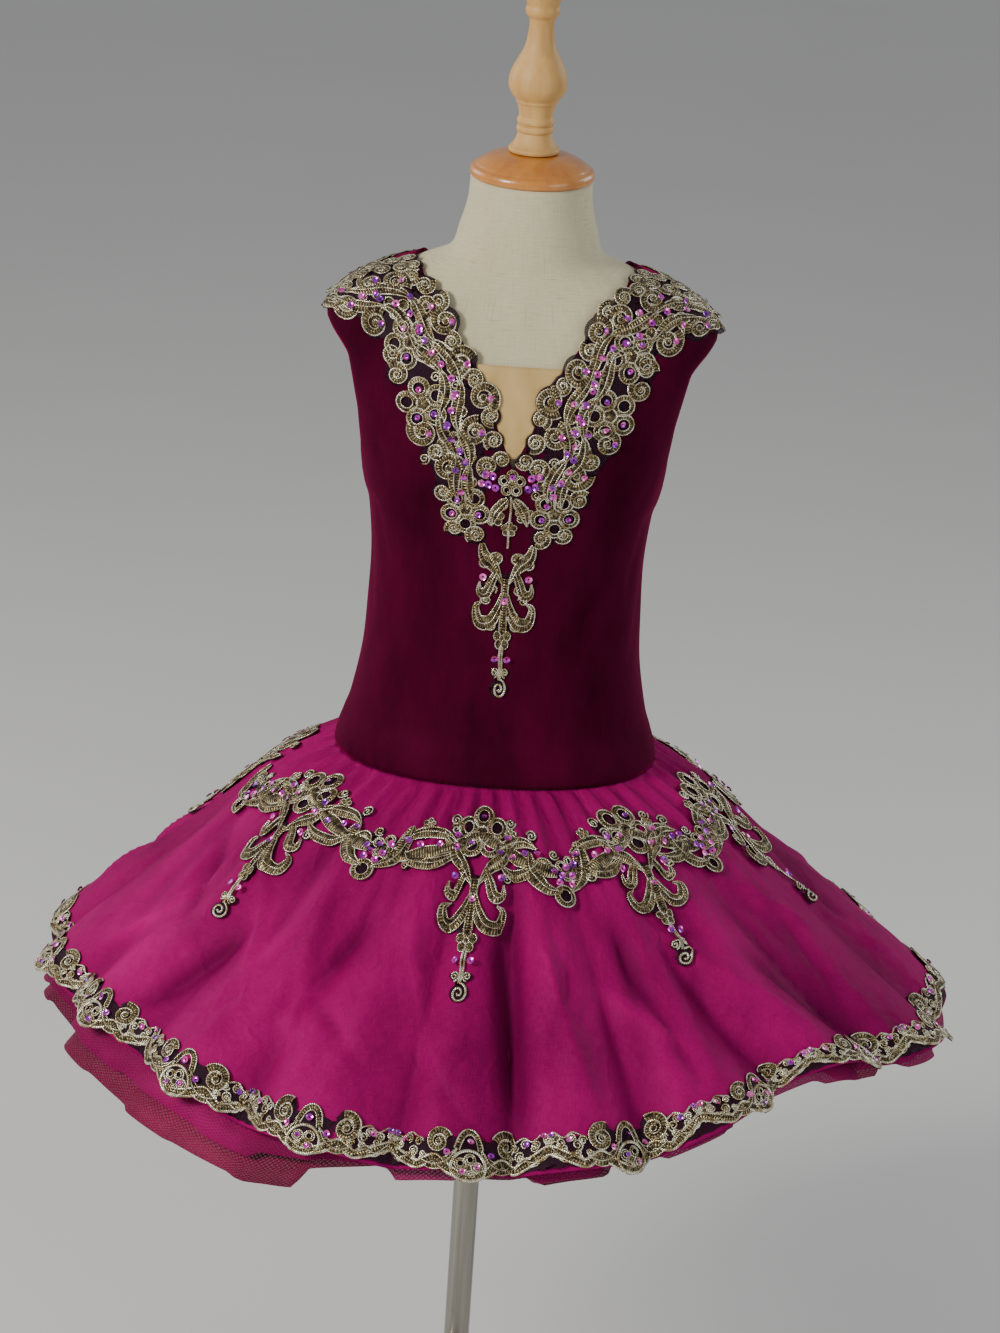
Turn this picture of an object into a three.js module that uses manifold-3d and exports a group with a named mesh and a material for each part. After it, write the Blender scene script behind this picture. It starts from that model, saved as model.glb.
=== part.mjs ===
// A ballet tutu dress standing on its limbless dress form.
// Millimetres, +Z up, the front faces -Y, the origin is under the middle of the base.
// The form carries a velvet bodice and a gathered bell skirt over two stiffer net layers.
// Corded lace runs round the neck, below the V, round the skirt and along its hem.
import * as THREE from "three";
import Module from "manifold-3d";

const wasm = await Module();
wasm.setup();
const { CrossSection } = wasm;

const degree = Math.PI / 180;

// Colours and surfaces of the pieces.
const finishes = {
  velvet: { color: 0x5a0a2c, roughness: 0.85, metalness: 0 },
  gauze: { color: 0xa82a66, roughness: 0.7, metalness: 0 },
  net: { color: 0x8c3a58, roughness: 0.8, metalness: 0 },
  nude: { color: 0xcbb084, roughness: 0.8, metalness: 0 },
  lace: { color: 0xa08c5c, roughness: 0.45, metalness: 0.6 },
  linen: { color: 0xbeb9a0, roughness: 0.9, metalness: 0 },
  palewood: { color: 0xb8966a, roughness: 0.6, metalness: 0 },
  capwood: { color: 0xa8683a, roughness: 0.4, metalness: 0 },
  steel: { color: 0xb8b8b4, roughness: 0.3, metalness: 1 },
};

// Gaps and cloth thicknesses.
const seam = 0.3;
const ease = 1.0;
const velvetThick = 1.8;
const insertThick = 1.0;
const gauzeThick = 1.4;
const netThick = 1.2;
const laceThick = 1.2;

// Driving heights of the dress.
const hipSeam = 606;
const neckApex = 836;
const underarm = 803;
const insertTop = 905;

// Level cuts of the torso from the hips up. half is the half width, front and back are the
// depths from the middle plane, square is how boxy the oval is (2 is an ellipse).
const torsoCuts = [
  { height: 548, half: 100, front: 76, back: 76, square: 2.2 },
  { height: 572, half: 110, front: 84, back: 84, square: 2.2 },
  { height: 606, half: 111.5, front: 86, back: 86, square: 2.2 },
  { height: 624, half: 107, front: 82, back: 82, square: 2.3 },
  { height: 640, half: 102, front: 78, back: 79, square: 2.3 },
  { height: 677, half: 95.5, front: 75, back: 75, square: 2.4 },
  { height: 715, half: 93.5, front: 74, back: 73, square: 2.4 },
  { height: 752, half: 93, front: 75, back: 72, square: 2.4 },
  { height: 788, half: 96.5, front: 77, back: 73, square: 2.4 },
  { height: 803, half: 101, front: 78, back: 73.5, square: 2.4 },
  { height: 825, half: 105.5, front: 79, back: 74, square: 2.5 },
  { height: 861, half: 113, front: 77, back: 73, square: 2.6 },
  { height: 898, half: 123, front: 69, back: 68, square: 2.6 },
  { height: 922, half: 134, front: 57, back: 60, square: 2.5 },
  { height: 945, half: 110, front: 50, back: 53, square: 2.4 },
  { height: 959, half: 76, front: 46, back: 50, square: 2.2 },
  { height: 969, half: 54, front: 44, back: 47, square: 2.1 },
  { height: 987, half: 47.5, front: 43, back: 44, square: 2.0 },
  { height: 1005, half: 43, front: 42, back: 42, square: 2.0 },
  { height: 1022, half: 42, front: 41.5, back: 41.5, square: 2.0 },
];

// The bell of the skirt from the seam to the hem, at its side.
const bellLine = [
  { reach: 113, height: 606 },
  { reach: 152, height: 584 },
  { reach: 184, height: 556 },
  { reach: 217, height: 526 },
  { reach: 253, height: 495 },
  { reach: 291, height: 463 },
  { reach: 325, height: 431 },
];

// The billows of the skirt, each from its valley to the next one. valley is the turn of the
// valley at the hem in degrees from the front, towards +X; drift is how far that valley has
// turned back at the seam; rise is the height of the billow at the hem.
const billows = [
  { valley: -71, drift: 3, rise: 20 },
  { valley: -51, drift: 6, rise: 22 },
  { valley: -32, drift: 11, rise: 25 },
  { valley: -9, drift: 3, rise: 19 },
  { valley: 5, drift: 2, rise: 24 },
  { valley: 23, drift: -2, rise: 26 },
  { valley: 45, drift: -13, rise: 28 },
  { valley: 65, drift: -12, rise: 22 },
  { valley: 84, drift: -4, rise: 20 },
  { valley: 106, drift: 5, rise: 26 },
  { valley: 129, drift: 8, rise: 20 },
  { valley: 148, drift: -3, rise: 25 },
  { valley: 171, drift: -6, rise: 18 },
  { valley: 188, drift: 3, rise: 24 },
  { valley: 210, drift: 9, rise: 22 },
  { valley: 231, drift: -5, rise: 26 },
  { valley: 254, drift: -7, rise: 21 },
  { valley: 271, drift: -2, rise: 17 },
];

// Where the hem is drawn up: the middle of the lift in degrees of turn, how far it spreads to
// each side and how much of the slant it takes.
const hemLifts = [
  { turn: -54, half: 46, lift: 20 },
  { turn: 0, half: 40, lift: 9 },
  { turn: 20, half: 20, lift: 8 },
  { turn: 48, half: 34, lift: 42 },
  { turn: 134, half: 32, lift: 20 },
  { turn: 196, half: 36, lift: 15 },
  { turn: 244, half: 30, lift: 18 },
];

// The power of the share down the slant by which the hem's lift sets in.
const liftLate = 3;

const gatherCount = 45;
const gatherRise = 2.2;
const gatherFades = [0.06, 0.42];
const hemDroop = 16;
const sideSpread = 10;

// How far the skirt is drawn in towards its back, as a share of its reach at the hem.
const backDraw = 0.15;

// How full a billow's crest is, how much of it lies below the bell, and where down the skirt
// it starts and is full.
const billowFullness = 0.85;
const billowSunk = 0.6;
const billowGrows = [0.06, 0.95];

// The shares of a fold's height that go outwards and upwards, square to the bell's slope.
const foldOut = 0.72;
const foldUp = 0.5;

// How the bell runs on past its hem, out and down for each millimetre.
const pastHem = 0.7;

// Where the rows of the skirt lie, as shares of the way from the seam to the hem.
const skirtRows = [0, 0.04, 0.12, 0.25, 0.42, 0.62, 0.83, 1];
const netRows = [0, 0.14, 0.5, 1];

// Reads a table at a fractional row, smooth through every row.
function readTable(table, at) {
  const last = table.length - 1;
  const place = Math.min(Math.max(at, 0), last - 1e-9);
  const row = Math.floor(place);
  const f = place - row;
  const values = {};
  const pick = (k) => table[Math.min(Math.max(k, 0), last)];
  for (const key of Object.keys(table[0])) {
    const [a, b, c, d] = [-1, 0, 1, 2].map((step) => pick(row + step)[key]);
    const leave = (c - a) / 2;
    const arrive = (d - b) / 2;
    const cube = 2 * b - 2 * c + leave + arrive;
    const square = 3 * c - 3 * b - 2 * leave - arrive;
    values[key] = cube * f ** 3 + square * f ** 2 + leave * f + b;
  }
  return values;
}

// The torso's cut at a height.
function torsoCut(height) {
  let low = 0;
  let high = torsoCuts.length - 1;
  for (let step = 0; step < 40; step += 1) {
    const middle = (low + high) / 2;
    if (readTable(torsoCuts, middle).height < height) low = middle;
    else high = middle;
  }
  return readTable(torsoCuts, (low + high) / 2);
}

// A point on the torso. angle turns from the front towards +X.
function torsoPoint(angle, height) {
  const cut = torsoCut(height);
  const depth = Math.cos(angle) > 0 ? cut.front : cut.back;
  const across = Math.abs(Math.sin(angle) / cut.half) ** cut.square;
  const along = Math.abs(Math.cos(angle) / depth) ** cut.square;
  const reach = (across + along) ** (-1 / cut.square);
  return new THREE.Vector3(reach * Math.sin(angle), -reach * Math.cos(angle), height);
}

// The outward direction of the torso at a point.
function torsoNormal(angle, height) {
  const turn = 0.01;
  const lift = 0.5;
  const round = torsoPoint(angle + turn, height).sub(torsoPoint(angle - turn, height));
  const up = torsoPoint(angle, height + lift).sub(torsoPoint(angle, height - lift));
  return round.cross(up).normalize();
}

// The angle at which the torso's front or back has a given sideways distance.
function angleAcross(height, across, atBack) {
  const cut = torsoCut(height);
  const depth = atBack ? cut.back : cut.front;
  const share = Math.max(1 - Math.abs(across / cut.half) ** cut.square, 0);
  return Math.atan2(across, depth * share ** (1 / cut.square));
}

// The angle at which the torso's side has a given distance from the middle plane.
function angleDeep(height, deep, atBack) {
  const cut = torsoCut(height);
  const depth = atBack ? cut.back : cut.front;
  const share = Math.max(1 - Math.abs(deep / depth) ** cut.square, 0);
  return Math.atan2(cut.half * share ** (1 / cut.square), deep);
}

// Angles from one to another round the torso, closer together where it turns sharply.
function spreadAngles(height, from, to, count) {
  const samples = 60;
  const sums = [0];
  const turns = [0];
  const angleOf = (k) => from + ((to - from) * k) / samples;
  for (let k = 1; k <= samples; k += 1) {
    const [a, b] = [angleOf(k - 1), angleOf(k)];
    sums.push(sums[k - 1] + torsoPoint(a, height).distanceTo(torsoPoint(b, height)));
    turns.push(turns[k - 1] + torsoNormal(a, height).angleTo(torsoNormal(b, height)));
  }
  const weight = (k) => sums[k] / sums[samples] + turns[k] / turns[samples];
  const angles = [];
  for (let place = 0, k = 0; place <= count; place += 1) {
    const wanted = (2 * place) / count;
    while (k < samples - 1 && weight(k + 1) < wanted) k += 1;
    const f = (wanted - weight(k)) / (weight(k + 1) - weight(k));
    angles.push(angleOf(k + Math.min(Math.max(f, 0), 1)));
  }
  return angles;
}

// Reads one column of a short table by height, straight between rows.
function readByHeight(table, key, height) {
  if (height <= table[0].height) return table[0][key];
  for (let row = 1; row < table.length; row += 1) {
    const a = table[row - 1];
    const b = table[row];
    if (height > b.height) continue;
    return a[key] + ((b[key] - a[key]) * (height - a.height)) / (b.height - a.height);
  }
  return table[table.length - 1][key];
}

// A panel is a list of corners, each with its place in the flat, its point and its outward
// direction, and a list of three-cornered faces.
function makePanel(rows, columns, cornerAt) {
  const corners = [];
  const faces = [];
  for (let row = 0; row <= rows; row += 1) {
    for (let column = 0; column <= columns; column += 1) corners.push(cornerAt(row, column));
  }
  const index = (row, column) => row * (columns + 1) + column;
  for (let row = 0; row < rows; row += 1) {
    for (let column = 0; column < columns; column += 1) {
      const [a, b] = [index(row, column), index(row, column + 1)];
      const [c, d] = [index(row + 1, column + 1), index(row + 1, column)];
      if ((row + column) % 2) faces.push([a, b, c], [a, c, d]);
      else faces.push([a, b, d], [b, c, d]);
    }
  }
  return { corners, faces };
}

function joinPanels(panels) {
  const joined = { corners: [], faces: [] };
  for (const panel of panels) {
    const start = joined.corners.length;
    joined.corners.push(...panel.corners);
    joined.faces.push(...panel.faces.map((face) => face.map((k) => k + start)));
  }
  return joined;
}

function placeKey(point, step = 1e-3) {
  return [point.x, point.y, point.z].map((value) => Math.round(value / step)).join(",");
}

// Gives a panel's corners outward directions from its faces, shared where corners meet.
function addNormals(panel, outwards) {
  const sums = new Map();
  for (const face of panel.faces) {
    const [a, b, c] = face.map((k) => panel.corners[k].point);
    const turn = b.clone().sub(a).cross(c.clone().sub(a));
    if (turn.dot(outwards(a)) < 0) turn.negate();
    for (const k of face) {
      const key = placeKey(panel.corners[k].point);
      if (!sums.has(key)) sums.set(key, new THREE.Vector3());
      sums.get(key).add(turn);
    }
  }
  for (const corner of panel.corners) {
    corner.normal = (sums.get(placeKey(corner.point)) ?? outwards(corner.point)).clone().normalize();
  }
  return panel;
}

// Turns a panel into a closed wall from its inner to its outer distance off the panel.
function wall(panel, inner, outer) {
  const found = new Map();
  const points = [];
  const normals = [];
  const index = panel.corners.map((corner) => {
    const key = placeKey(corner.point);
    if (!found.has(key)) {
      found.set(key, points.length);
      points.push(corner.point);
      normals.push(corner.normal);
    }
    return found.get(key);
  });
  const faces = [];
  for (const face of panel.faces) {
    const [a, b, c] = face.map((k) => index[k]);
    if (a === b || b === c || c === a) continue;
    const turn = points[b].clone().sub(points[a]).cross(points[c].clone().sub(points[a]));
    const outwards = normals[a].clone().add(normals[b]).add(normals[c]);
    faces.push(turn.dot(outwards) > 0 ? [a, b, c] : [a, c, b]);
  }
  const count = points.length;
  const placed = [];
  for (const off of [outer, inner]) {
    for (let k = 0; k < count; k += 1) placed.push(points[k].clone().addScaledVector(normals[k], off));
  }
  const edges = new Set(faces.flatMap(([a, b, c]) => [`${a},${b}`, `${b},${c}`, `${c},${a}`]));
  const closed = [];
  for (const [a, b, c] of faces) {
    closed.push([a, b, c], [a + count, c + count, b + count]);
    for (const [from, to] of [[a, b], [b, c], [c, a]]) {
      if (edges.has(`${to},${from}`)) continue;
      closed.push([from, from + count, to], [to, from + count, to + count]);
    }
  }
  return solid(placed, closed);
}

// A mesh from points and faces, without the points no face uses.
function solid(points, faces) {
  const geometry = new THREE.BufferGeometry();
  const used = new Map();
  const positions = [];
  const indices = faces.flat().map((k) => {
    if (!used.has(k)) {
      used.set(k, positions.length / 3);
      positions.push(points[k].x, points[k].y, points[k].z);
    }
    return used.get(k);
  });
  geometry.setAttribute("position", new THREE.Float32BufferAttribute(positions, 3));
  geometry.setIndex(indices);
  geometry.computeVertexNormals();
  return geometry;
}

// A closed skin through level rings with a middle point at each end.
function skin(rings, bottom, top) {
  const count = rings[0].length;
  const points = [...rings.flat(), bottom, top];
  const low = points.length - 2;
  const high = points.length - 1;
  const faces = [];
  for (let k = 0; k < count; k += 1) {
    const next = (k + 1) % count;
    faces.push([low, next, k]);
    faces.push([high, k + (rings.length - 1) * count, next + (rings.length - 1) * count]);
    for (let row = 0; row + 1 < rings.length; row += 1) {
      const [a, b] = [row * count + k, row * count + next];
      faces.push([a, b, b + count], [a, b + count, a + count]);
    }
  }
  return solid(points, faces);
}

// A turned piece. Its profile runs from the bottom up and starts and ends on the axis.
function turned(profile, segments) {
  const outline = profile.map(([radius, height]) => new THREE.Vector2(radius, height));
  const geometry = new THREE.LatheGeometry(outline, segments);
  geometry.rotateX(Math.PI / 2);
  return geometry;
}

// The bell's line by its length down the slant.
const bellDown = [0];
for (let row = 1; row < bellLine.length; row += 1) {
  const run = bellLine[row].reach - bellLine[row - 1].reach;
  const fall = bellLine[row].height - bellLine[row - 1].height;
  bellDown.push(bellDown[row - 1] + Math.hypot(run, fall));
}
const slant = bellDown[bellDown.length - 1];

function bellAt(down) {
  let row = 0;
  while (row < bellDown.length - 2 && down > bellDown[row + 1]) row += 1;
  const at = row + (down - bellDown[row]) / (bellDown[row + 1] - bellDown[row]);
  const past = Math.max(down - slant, 0);
  const line = readTable(bellLine, at);
  return { reach: line.reach + pastHem * past, height: line.height - pastHem * past };
}

function ramp(from, to, value) {
  const f = Math.min(Math.max((value - from) / (to - from), 0), 1);
  return f * f * (3 - 2 * f);
}

// How much of the slant the hem's lifts take at a turn in degrees.
function liftAt(turn) {
  let lift = 0;
  for (const row of hemLifts) {
    const away = Math.abs(((((turn - row.turn + 180) % 360) + 360) % 360) - 180);
    if (away < row.half) lift += (row.lift * (1 + Math.cos((Math.PI * away) / row.half))) / 2;
  }
  return lift;
}

// The billows' height at a turn in degrees and a share down the slant.
function billowAt(turn, share) {
  const placed = billows.map((row) => row.valley + row.drift * (1 - share));
  const first = placed[0];
  const angle = first + ((((turn - first) % 360) + 360) % 360);
  let row = placed.length - 1;
  while (row > 0 && angle < placed[row]) row -= 1;
  const end = row + 1 < placed.length ? placed[row + 1] : first + 360;
  const wave = Math.sin((Math.PI * (angle - placed[row])) / (end - placed[row]));
  return billows[row].rise * (wave ** billowFullness - billowSunk) * ramp(...billowGrows, share);
}

// A point of the skirt's bell. drop lowers it, fold is the share of the billows it follows,
// crimp is the height of the small gathers or net folds and count is how many go round.
function bellPoint(turn, share, { drop = 0, fold = 1, crimp = 0, count = 0 } = {}) {
  const angle = turn * degree;
  const line = bellAt(share * slant - liftAt(turn) * share ** liftLate);
  const seamPoint = torsoPoint(angle, hipSeam);
  const seamReach = Math.hypot(seamPoint.x, seamPoint.y) + ease;
  const oval = (bellLine[0].reach - seamReach) * (1 - Math.min(share, 1));
  const out = fold * billowAt(turn, share) + crimp * Math.cos(count * angle);
  const spread = sideSpread * Math.sin(angle) * share ** 2;
  const drawn = 1 - backDraw * Math.max(-Math.cos(angle), 0) * share;
  const reach = (line.reach - oval + spread) * drawn + foldOut * out;
  const frontness = Math.max(Math.cos(angle), 0);
  const droop = hemDroop * frontness ** 2 * share ** 2;
  const height = line.height - droop - drop + foldUp * out;
  return new THREE.Vector3(reach * Math.sin(angle), -reach * Math.cos(angle), height);
}

// The outward direction a skirt's faces are sorted by: up and away from the middle.
function skirtOutwards(point) {
  return new THREE.Vector3(point.x, point.y, 0).normalize().add(new THREE.Vector3(0, 0, 1));
}

// The overskirt's panel. Its flat is turn in degrees by millimetres down the slant.
function skirtPanel(firstTurn, shares) {
  const columns = gatherCount * 2;
  return addNormals(
    makePanel(shares.length - 1, columns, (row, column) => {
      const turn = firstTurn + (column * 360) / columns;
      const share = shares[row];
      const crimp = gatherRise * ramp(0, skirtRows[1], share) * (1 - ramp(...gatherFades, share));
      const point = bellPoint(turn, share, { crimp, count: gatherCount });
      return { flat: [turn, share * slant], point };
    }),
    skirtOutwards,
  );
}

// A layer of stiff net below the overskirt. Its folds are straight and sharp, full at a share
// of the way down, and it has parted from the layer above by another.
const netFoldFull = 0.8;
const netParted = 0.5;
function netPanel({ seamDrop, drop, fold, crimp, columns, reachLoss }) {
  return addNormals(
    makePanel(netRows.length - 1, columns, (row, column) => {
      const share = netRows[row];
      const turn = (column * 360) / columns;
      const zigzag = crimp * ramp(0, netFoldFull, share);
      const low = seamDrop + (drop - seamDrop) * ramp(0, netParted, share);
      const folds = { drop: low, fold, crimp: zigzag, count: columns / 2 };
      const point = bellPoint(turn, share * reachLoss, folds);
      return { flat: [turn, share], point };
    }),
    skirtOutwards,
  );
}

// The bodice. The neck edge and the armhole edge by height.
const neckFront = [
  { height: 836, across: 0 },
  { height: 862, across: 12 },
  { height: 890, across: 22 },
  { height: 912, across: 36 },
  { height: 923, across: 43 },
  { height: 931, across: 49 },
  { height: 942, across: 59 },
  { height: 951, across: 66 },
  { height: 959, across: 71 },
];
const neckBack = [
  { height: 890, across: 0 },
  { height: 912, across: 42 },
  { height: 923, across: 51 },
  { height: 931, across: 56 },
  { height: 942, across: 62 },
  { height: 951, across: 67 },
  { height: 959, across: 71 },
];
const armhole = [
  { height: 803, front: 0, back: 0 },
  { height: 814, front: 18, back: 16 },
  { height: 836, front: 30, back: 26 },
  { height: 861, front: 35, back: 30 },
  { height: 898, front: 33, back: 29 },
  { height: 916, front: 23, back: 21 },
  { height: 931, front: 0, back: 0 },
];
const bodiceFoot = hipSeam + seam + 0.4;
const bodiceRows = [bodiceFoot, 624, 655, 715, 765, underarm];
bodiceRows.push(neckApex, 862, 890, 912, 923, 931, 942, 951, 959);
const bodiceColumns = 7;

// One half of a bodice panel, from its middle or neck edge to its side edge. Its flat is the
// front view: millimetres across by height.
function bodiceHalf(side, atBack) {
  const neck = atBack ? neckBack : neckFront;
  const key = atBack ? "back" : "front";
  const fromFront = (angle) => (atBack ? Math.PI - angle : angle);
  const angles = bodiceRows.map((height) => {
    const deep = Math.max(readByHeight(armhole, key, height), seam * 0.6);
    const from = fromFront(angleAcross(height, readByHeight(neck, "across", height), atBack));
    const to = fromFront(angleDeep(height, deep, atBack));
    return spreadAngles(height, from, to, bodiceColumns).map((angle) => side * angle);
  });
  return makePanel(bodiceRows.length - 1, bodiceColumns, (row, column) => {
    const height = bodiceRows[row];
    const angle = angles[row][column];
    const point = torsoPoint(angle, height);
    return { flat: [point.x, height], point, normal: torsoNormal(angle, height) };
  });
}

function bodicePanel(atBack) {
  return joinPanels([bodiceHalf(1, atBack), bodiceHalf(-1, atBack)]);
}

function insertPanel() {
  const rows = [neckApex + 8, 862, 890, insertTop];
  const columns = 8;
  return makePanel(rows.length - 1, columns, (row, column) => {
    const height = rows[row];
    const across = readByHeight(neckFront, "across", height) - seam * 2;
    const share = (2 * column) / columns - 1;
    const angle = Math.sign(share) * angleAcross(height, Math.abs(across * share), false);
    const point = torsoPoint(angle, height);
    return { flat: [across * share, height], point, normal: torsoNormal(angle, height) };
  });
}

// Shapes in the flat.
function disc(x, y, radius, sides = 7) {
  return CrossSection.circle(radius, sides).translate([x, y]);
}

// A band along a path, with its half width at each point.
function ribbon(path) {
  const parts = [];
  for (let k = 0; k + 1 < path.length; k += 1) {
    const [x0, y0, w0] = path[k];
    const [x1, y1, w1] = path[k + 1];
    const long = Math.hypot(x1 - x0, y1 - y0);
    const [nx, ny] = [-(y1 - y0) / long, (x1 - x0) / long];
    const outline = [
      [x0 + nx * w0, y0 + ny * w0],
      [x0 - nx * w0, y0 - ny * w0],
      [x1 - nx * w1, y1 - ny * w1],
      [x1 + nx * w1, y1 + ny * w1],
    ];
    parts.push(new CrossSection([outline], "NonZero"));
    if (k > 0) parts.push(disc(x0, y0, w0 * 0.96, 6));
  }
  return parts;
}

function unite(parts) {
  return CrossSection.union(parts);
}

// The outlines of a shape in the flat, each outer ring with its own holes.
function outlinesOf(shape) {
  const rings = shape.toPolygons().map((ring) => ring.map(([x, y]) => new THREE.Vector2(x, y)));
  const area = (ring) => THREE.ShapeUtils.area(ring);
  const outers = rings.filter((ring) => area(ring) > 0).map((ring) => ({ ring, holes: [] }));
  for (const hole of rings.filter((ring) => area(ring) < 0)) {
    const owners = outers.filter(({ ring }) => inside(hole[0], ring));
    owners.sort((p, q) => area(p.ring) - area(q.ring));
    if (owners.length) owners[0].holes.push(hole);
  }
  return outers;
}

function inside(point, ring) {
  let odd = false;
  for (let k = 0, j = ring.length - 1; k < ring.length; j = k, k += 1) {
    const [a, b] = [ring[k], ring[j]];
    if (a.y > point.y !== b.y > point.y) {
      if (point.x < a.x + ((point.y - a.y) * (b.x - a.x)) / (b.y - a.y)) odd = !odd;
    }
  }
  return odd;
}

function turnOf([a, b, c]) {
  return (b[0] - a[0]) * (c[1] - a[1]) - (b[1] - a[1]) * (c[0] - a[0]);
}

// Cuts a flat shape along a panel's own faces and lifts it onto them, so that it follows the
// cloth exactly. The result is a panel again.
function layOn(panel, shape, near) {
  const corners = [];
  const faces = [];
  const cells = new Map();
  const cell = (value, size) => Math.floor(value / size);
  const cornerFor = (flat, makeCorner) => {
    const [cx, cy] = [cell(flat[0], near[0]), cell(flat[1], near[1])];
    for (let dx = -1; dx <= 1; dx += 1) {
      for (let dy = -1; dy <= 1; dy += 1) {
        for (const k of cells.get(`${cx + dx},${cy + dy}`) ?? []) {
          const other = corners[k].flat;
          const away = [0, 1].map((axis) => (other[axis] - flat[axis]) / near[axis]);
          if (Math.hypot(...away) < 1) return k;
        }
      }
    }
    corners.push(makeCorner());
    const key = `${cx},${cy}`;
    if (!cells.has(key)) cells.set(key, []);
    cells.get(key).push(corners.length - 1);
    return corners.length - 1;
  };
  const reach = shape.bounds();
  const carriers = panel.faces.map((face) => {
    let used = face.map((k) => panel.corners[k]);
    if (turnOf(used.map((corner) => corner.flat)) < 0) used = [used[0], used[2], used[1]];
    const flats = used.map((corner) => corner.flat);
    const xs = flats.map((flat) => flat[0]);
    const ys = flats.map((flat) => flat[1]);
    const box = [Math.min(...xs), Math.min(...ys), Math.max(...xs), Math.max(...ys)];
    return { used, flats, box, area: turnOf(flats) };
  });
  for (const carrier of carriers) {
    if (carrier.area < 1e-6) continue;
    if (reach.max[0] < carrier.box[0] || reach.min[0] > carrier.box[2]) continue;
    if (reach.max[1] < carrier.box[1] || reach.min[1] > carrier.box[3]) continue;
    const cut = shape.intersect(new CrossSection([carrier.flats], "NonZero"));
    for (const { ring, holes } of outlinesOf(cut)) {
      const all = [ring, ...holes].flat();
      const named = all.map(({ x, y }) => cornerFor([x, y], () => lift([x, y], carrier)));
      for (const piece of THREE.ShapeUtils.triangulateShape(ring, holes)) {
        const face = piece.map((k) => named[k]);
        if (new Set(face).size === 3) faces.push(face);
      }
    }
  }
  return { corners, faces };
}

// The corner of a panel's surface over a place in its flat.
function onPanel(panel, flat) {
  let best = { short: -Infinity };
  for (const face of panel.faces) {
    const used = face.map((k) => panel.corners[k]);
    const flats = used.map((corner) => corner.flat);
    const area = turnOf(flats);
    if (Math.abs(area) < 1e-6) continue;
    const short = Math.min(...sharesOf(flat, flats, area));
    if (short > best.short) best = { short, carrier: { used, flats, area } };
  }
  return lift(flat, best.carrier);
}

// How near a place in the flat is to each corner of a face, as shares that add up to one.
function sharesOf(flat, flats, area) {
  return [0, 1, 2].map((k) => turnOf([flat, flats[(k + 1) % 3], flats[(k + 2) % 3]]) / area);
}

// The corner of a carrying face's surface over a place in the flat.
function lift(flat, { used, flats, area }) {
  const shares = sharesOf(flat, flats, area);
  const point = new THREE.Vector3();
  const normal = new THREE.Vector3();
  shares.forEach((share, k) => {
    point.addScaledVector(used[k].point, share);
    normal.addScaledVector(used[k].normal, share);
  });
  return { flat, point, normal };
}

// The lobes of the neck lace on the side of +X, from the shoulder down to the V's foot.
const neckLobes = [
  { across: 133, height: 933, radius: 9 },
  { across: 121, height: 949, radius: 9 },
  { across: 119, height: 931, radius: 10 },
  { across: 104, height: 951, radius: 10 },
  { across: 99, height: 923, radius: 11 },
  { across: 87, height: 952, radius: 11 },
  { across: 75, height: 914, radius: 17 },
  { across: 66, height: 938, radius: 10 },
  { across: 52, height: 930, radius: 11 },
  { across: 40, height: 904, radius: 12 },
  { across: 23, height: 884, radius: 12 },
  { across: 63, height: 876, radius: 18 },
  { across: 62, height: 857, radius: 11 },
  { across: 27, height: 861, radius: 11 },
  { across: 43, height: 834, radius: 12 },
  { across: 30, height: 806, radius: 17 },
  { across: 17, height: 838, radius: 9 },
  { across: 22, height: 788, radius: 8 },
];

// The band under those lobes, with its half width.
const neckBand = [
  [128, 940, 10],
  [96, 940, 14],
  [72, 925, 14],
  [56, 908, 12],
  [44, 884, 12],
  [42, 858, 12],
  [34, 836, 11],
  [30, 812, 9],
];
const neckGaps = [
  { across: 55, height: 897, radius: 3.6 },
  { across: 44, height: 871, radius: 3.4 },
  { across: 84, height: 934, radius: 3.2 },
];
const backLobes = [
  { across: 118, height: 943, radius: 12 },
  { across: 95, height: 926, radius: 13 },
  { across: 70, height: 906, radius: 14 },
  { across: 39, height: 890, radius: 13 },
  { across: 0, height: 882, radius: 14 },
];
const backBand = [
  [124, 945, 8],
  [92, 942, 14],
  [70, 928, 14],
  [48, 908, 12],
  [24, 896, 10],
  [0, 893, 9],
];

// The outline of a lace drop on one side: two leaves, two horns, a thin stem and a spiral.
const dropEdge = [
  { across: 6, down: 0 },
  { across: 21, down: 20 },
  { across: 12, down: 42 },
  { across: 17, down: 56 },
  { across: 4, down: 76 },
  { across: 3, down: 100 },
  { across: 7, down: 110 },
  { across: 0, down: 119 },
];
const dropGaps = [{ across: 6.5, down: 25, radius: 3.2 }];
const dropLong = 119;

// The motifs of the skirt's garland. turn is in degrees from the front towards +X.
const rosettes = [
  { turn: -2, down: 41, reach: 120, lean: -2 },
  { turn: 43, down: 42, reach: 103, lean: -4 },
  { turn: 82, down: 42, reach: 108, lean: 2 },
  { turn: 127, down: 44, reach: 112, lean: 3 },
  { turn: 171, down: 42, reach: 116, lean: -2 },
  { turn: 215, down: 43, reach: 110, lean: 2 },
  { turn: 257, down: 42, reach: 108, lean: -3 },
  { turn: 300, down: 40, reach: 112, lean: 8 },
];
const cups = [
  { turn: 19, down: 69 },
  { turn: 62, down: 67 },
  { turn: 105, down: 67 },
  { turn: 149, down: 68 },
  { turn: 193, down: 66 },
  { turn: 236, down: 68 },
  { turn: 280, down: 66 },
  { turn: 329, down: 64 },
];
const rosetteRadius = 20;
const cupRadius = 17;
const swagHalf = 5;
const swagSag = 9;

// Where the skirt's lace is cut at the sides, in degrees of turn.
const leftCut = -88;
const rightCut = 92;
const cutGap = 0.04;

const hemRepeats = 18;
const hemHang = 8;

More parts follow.
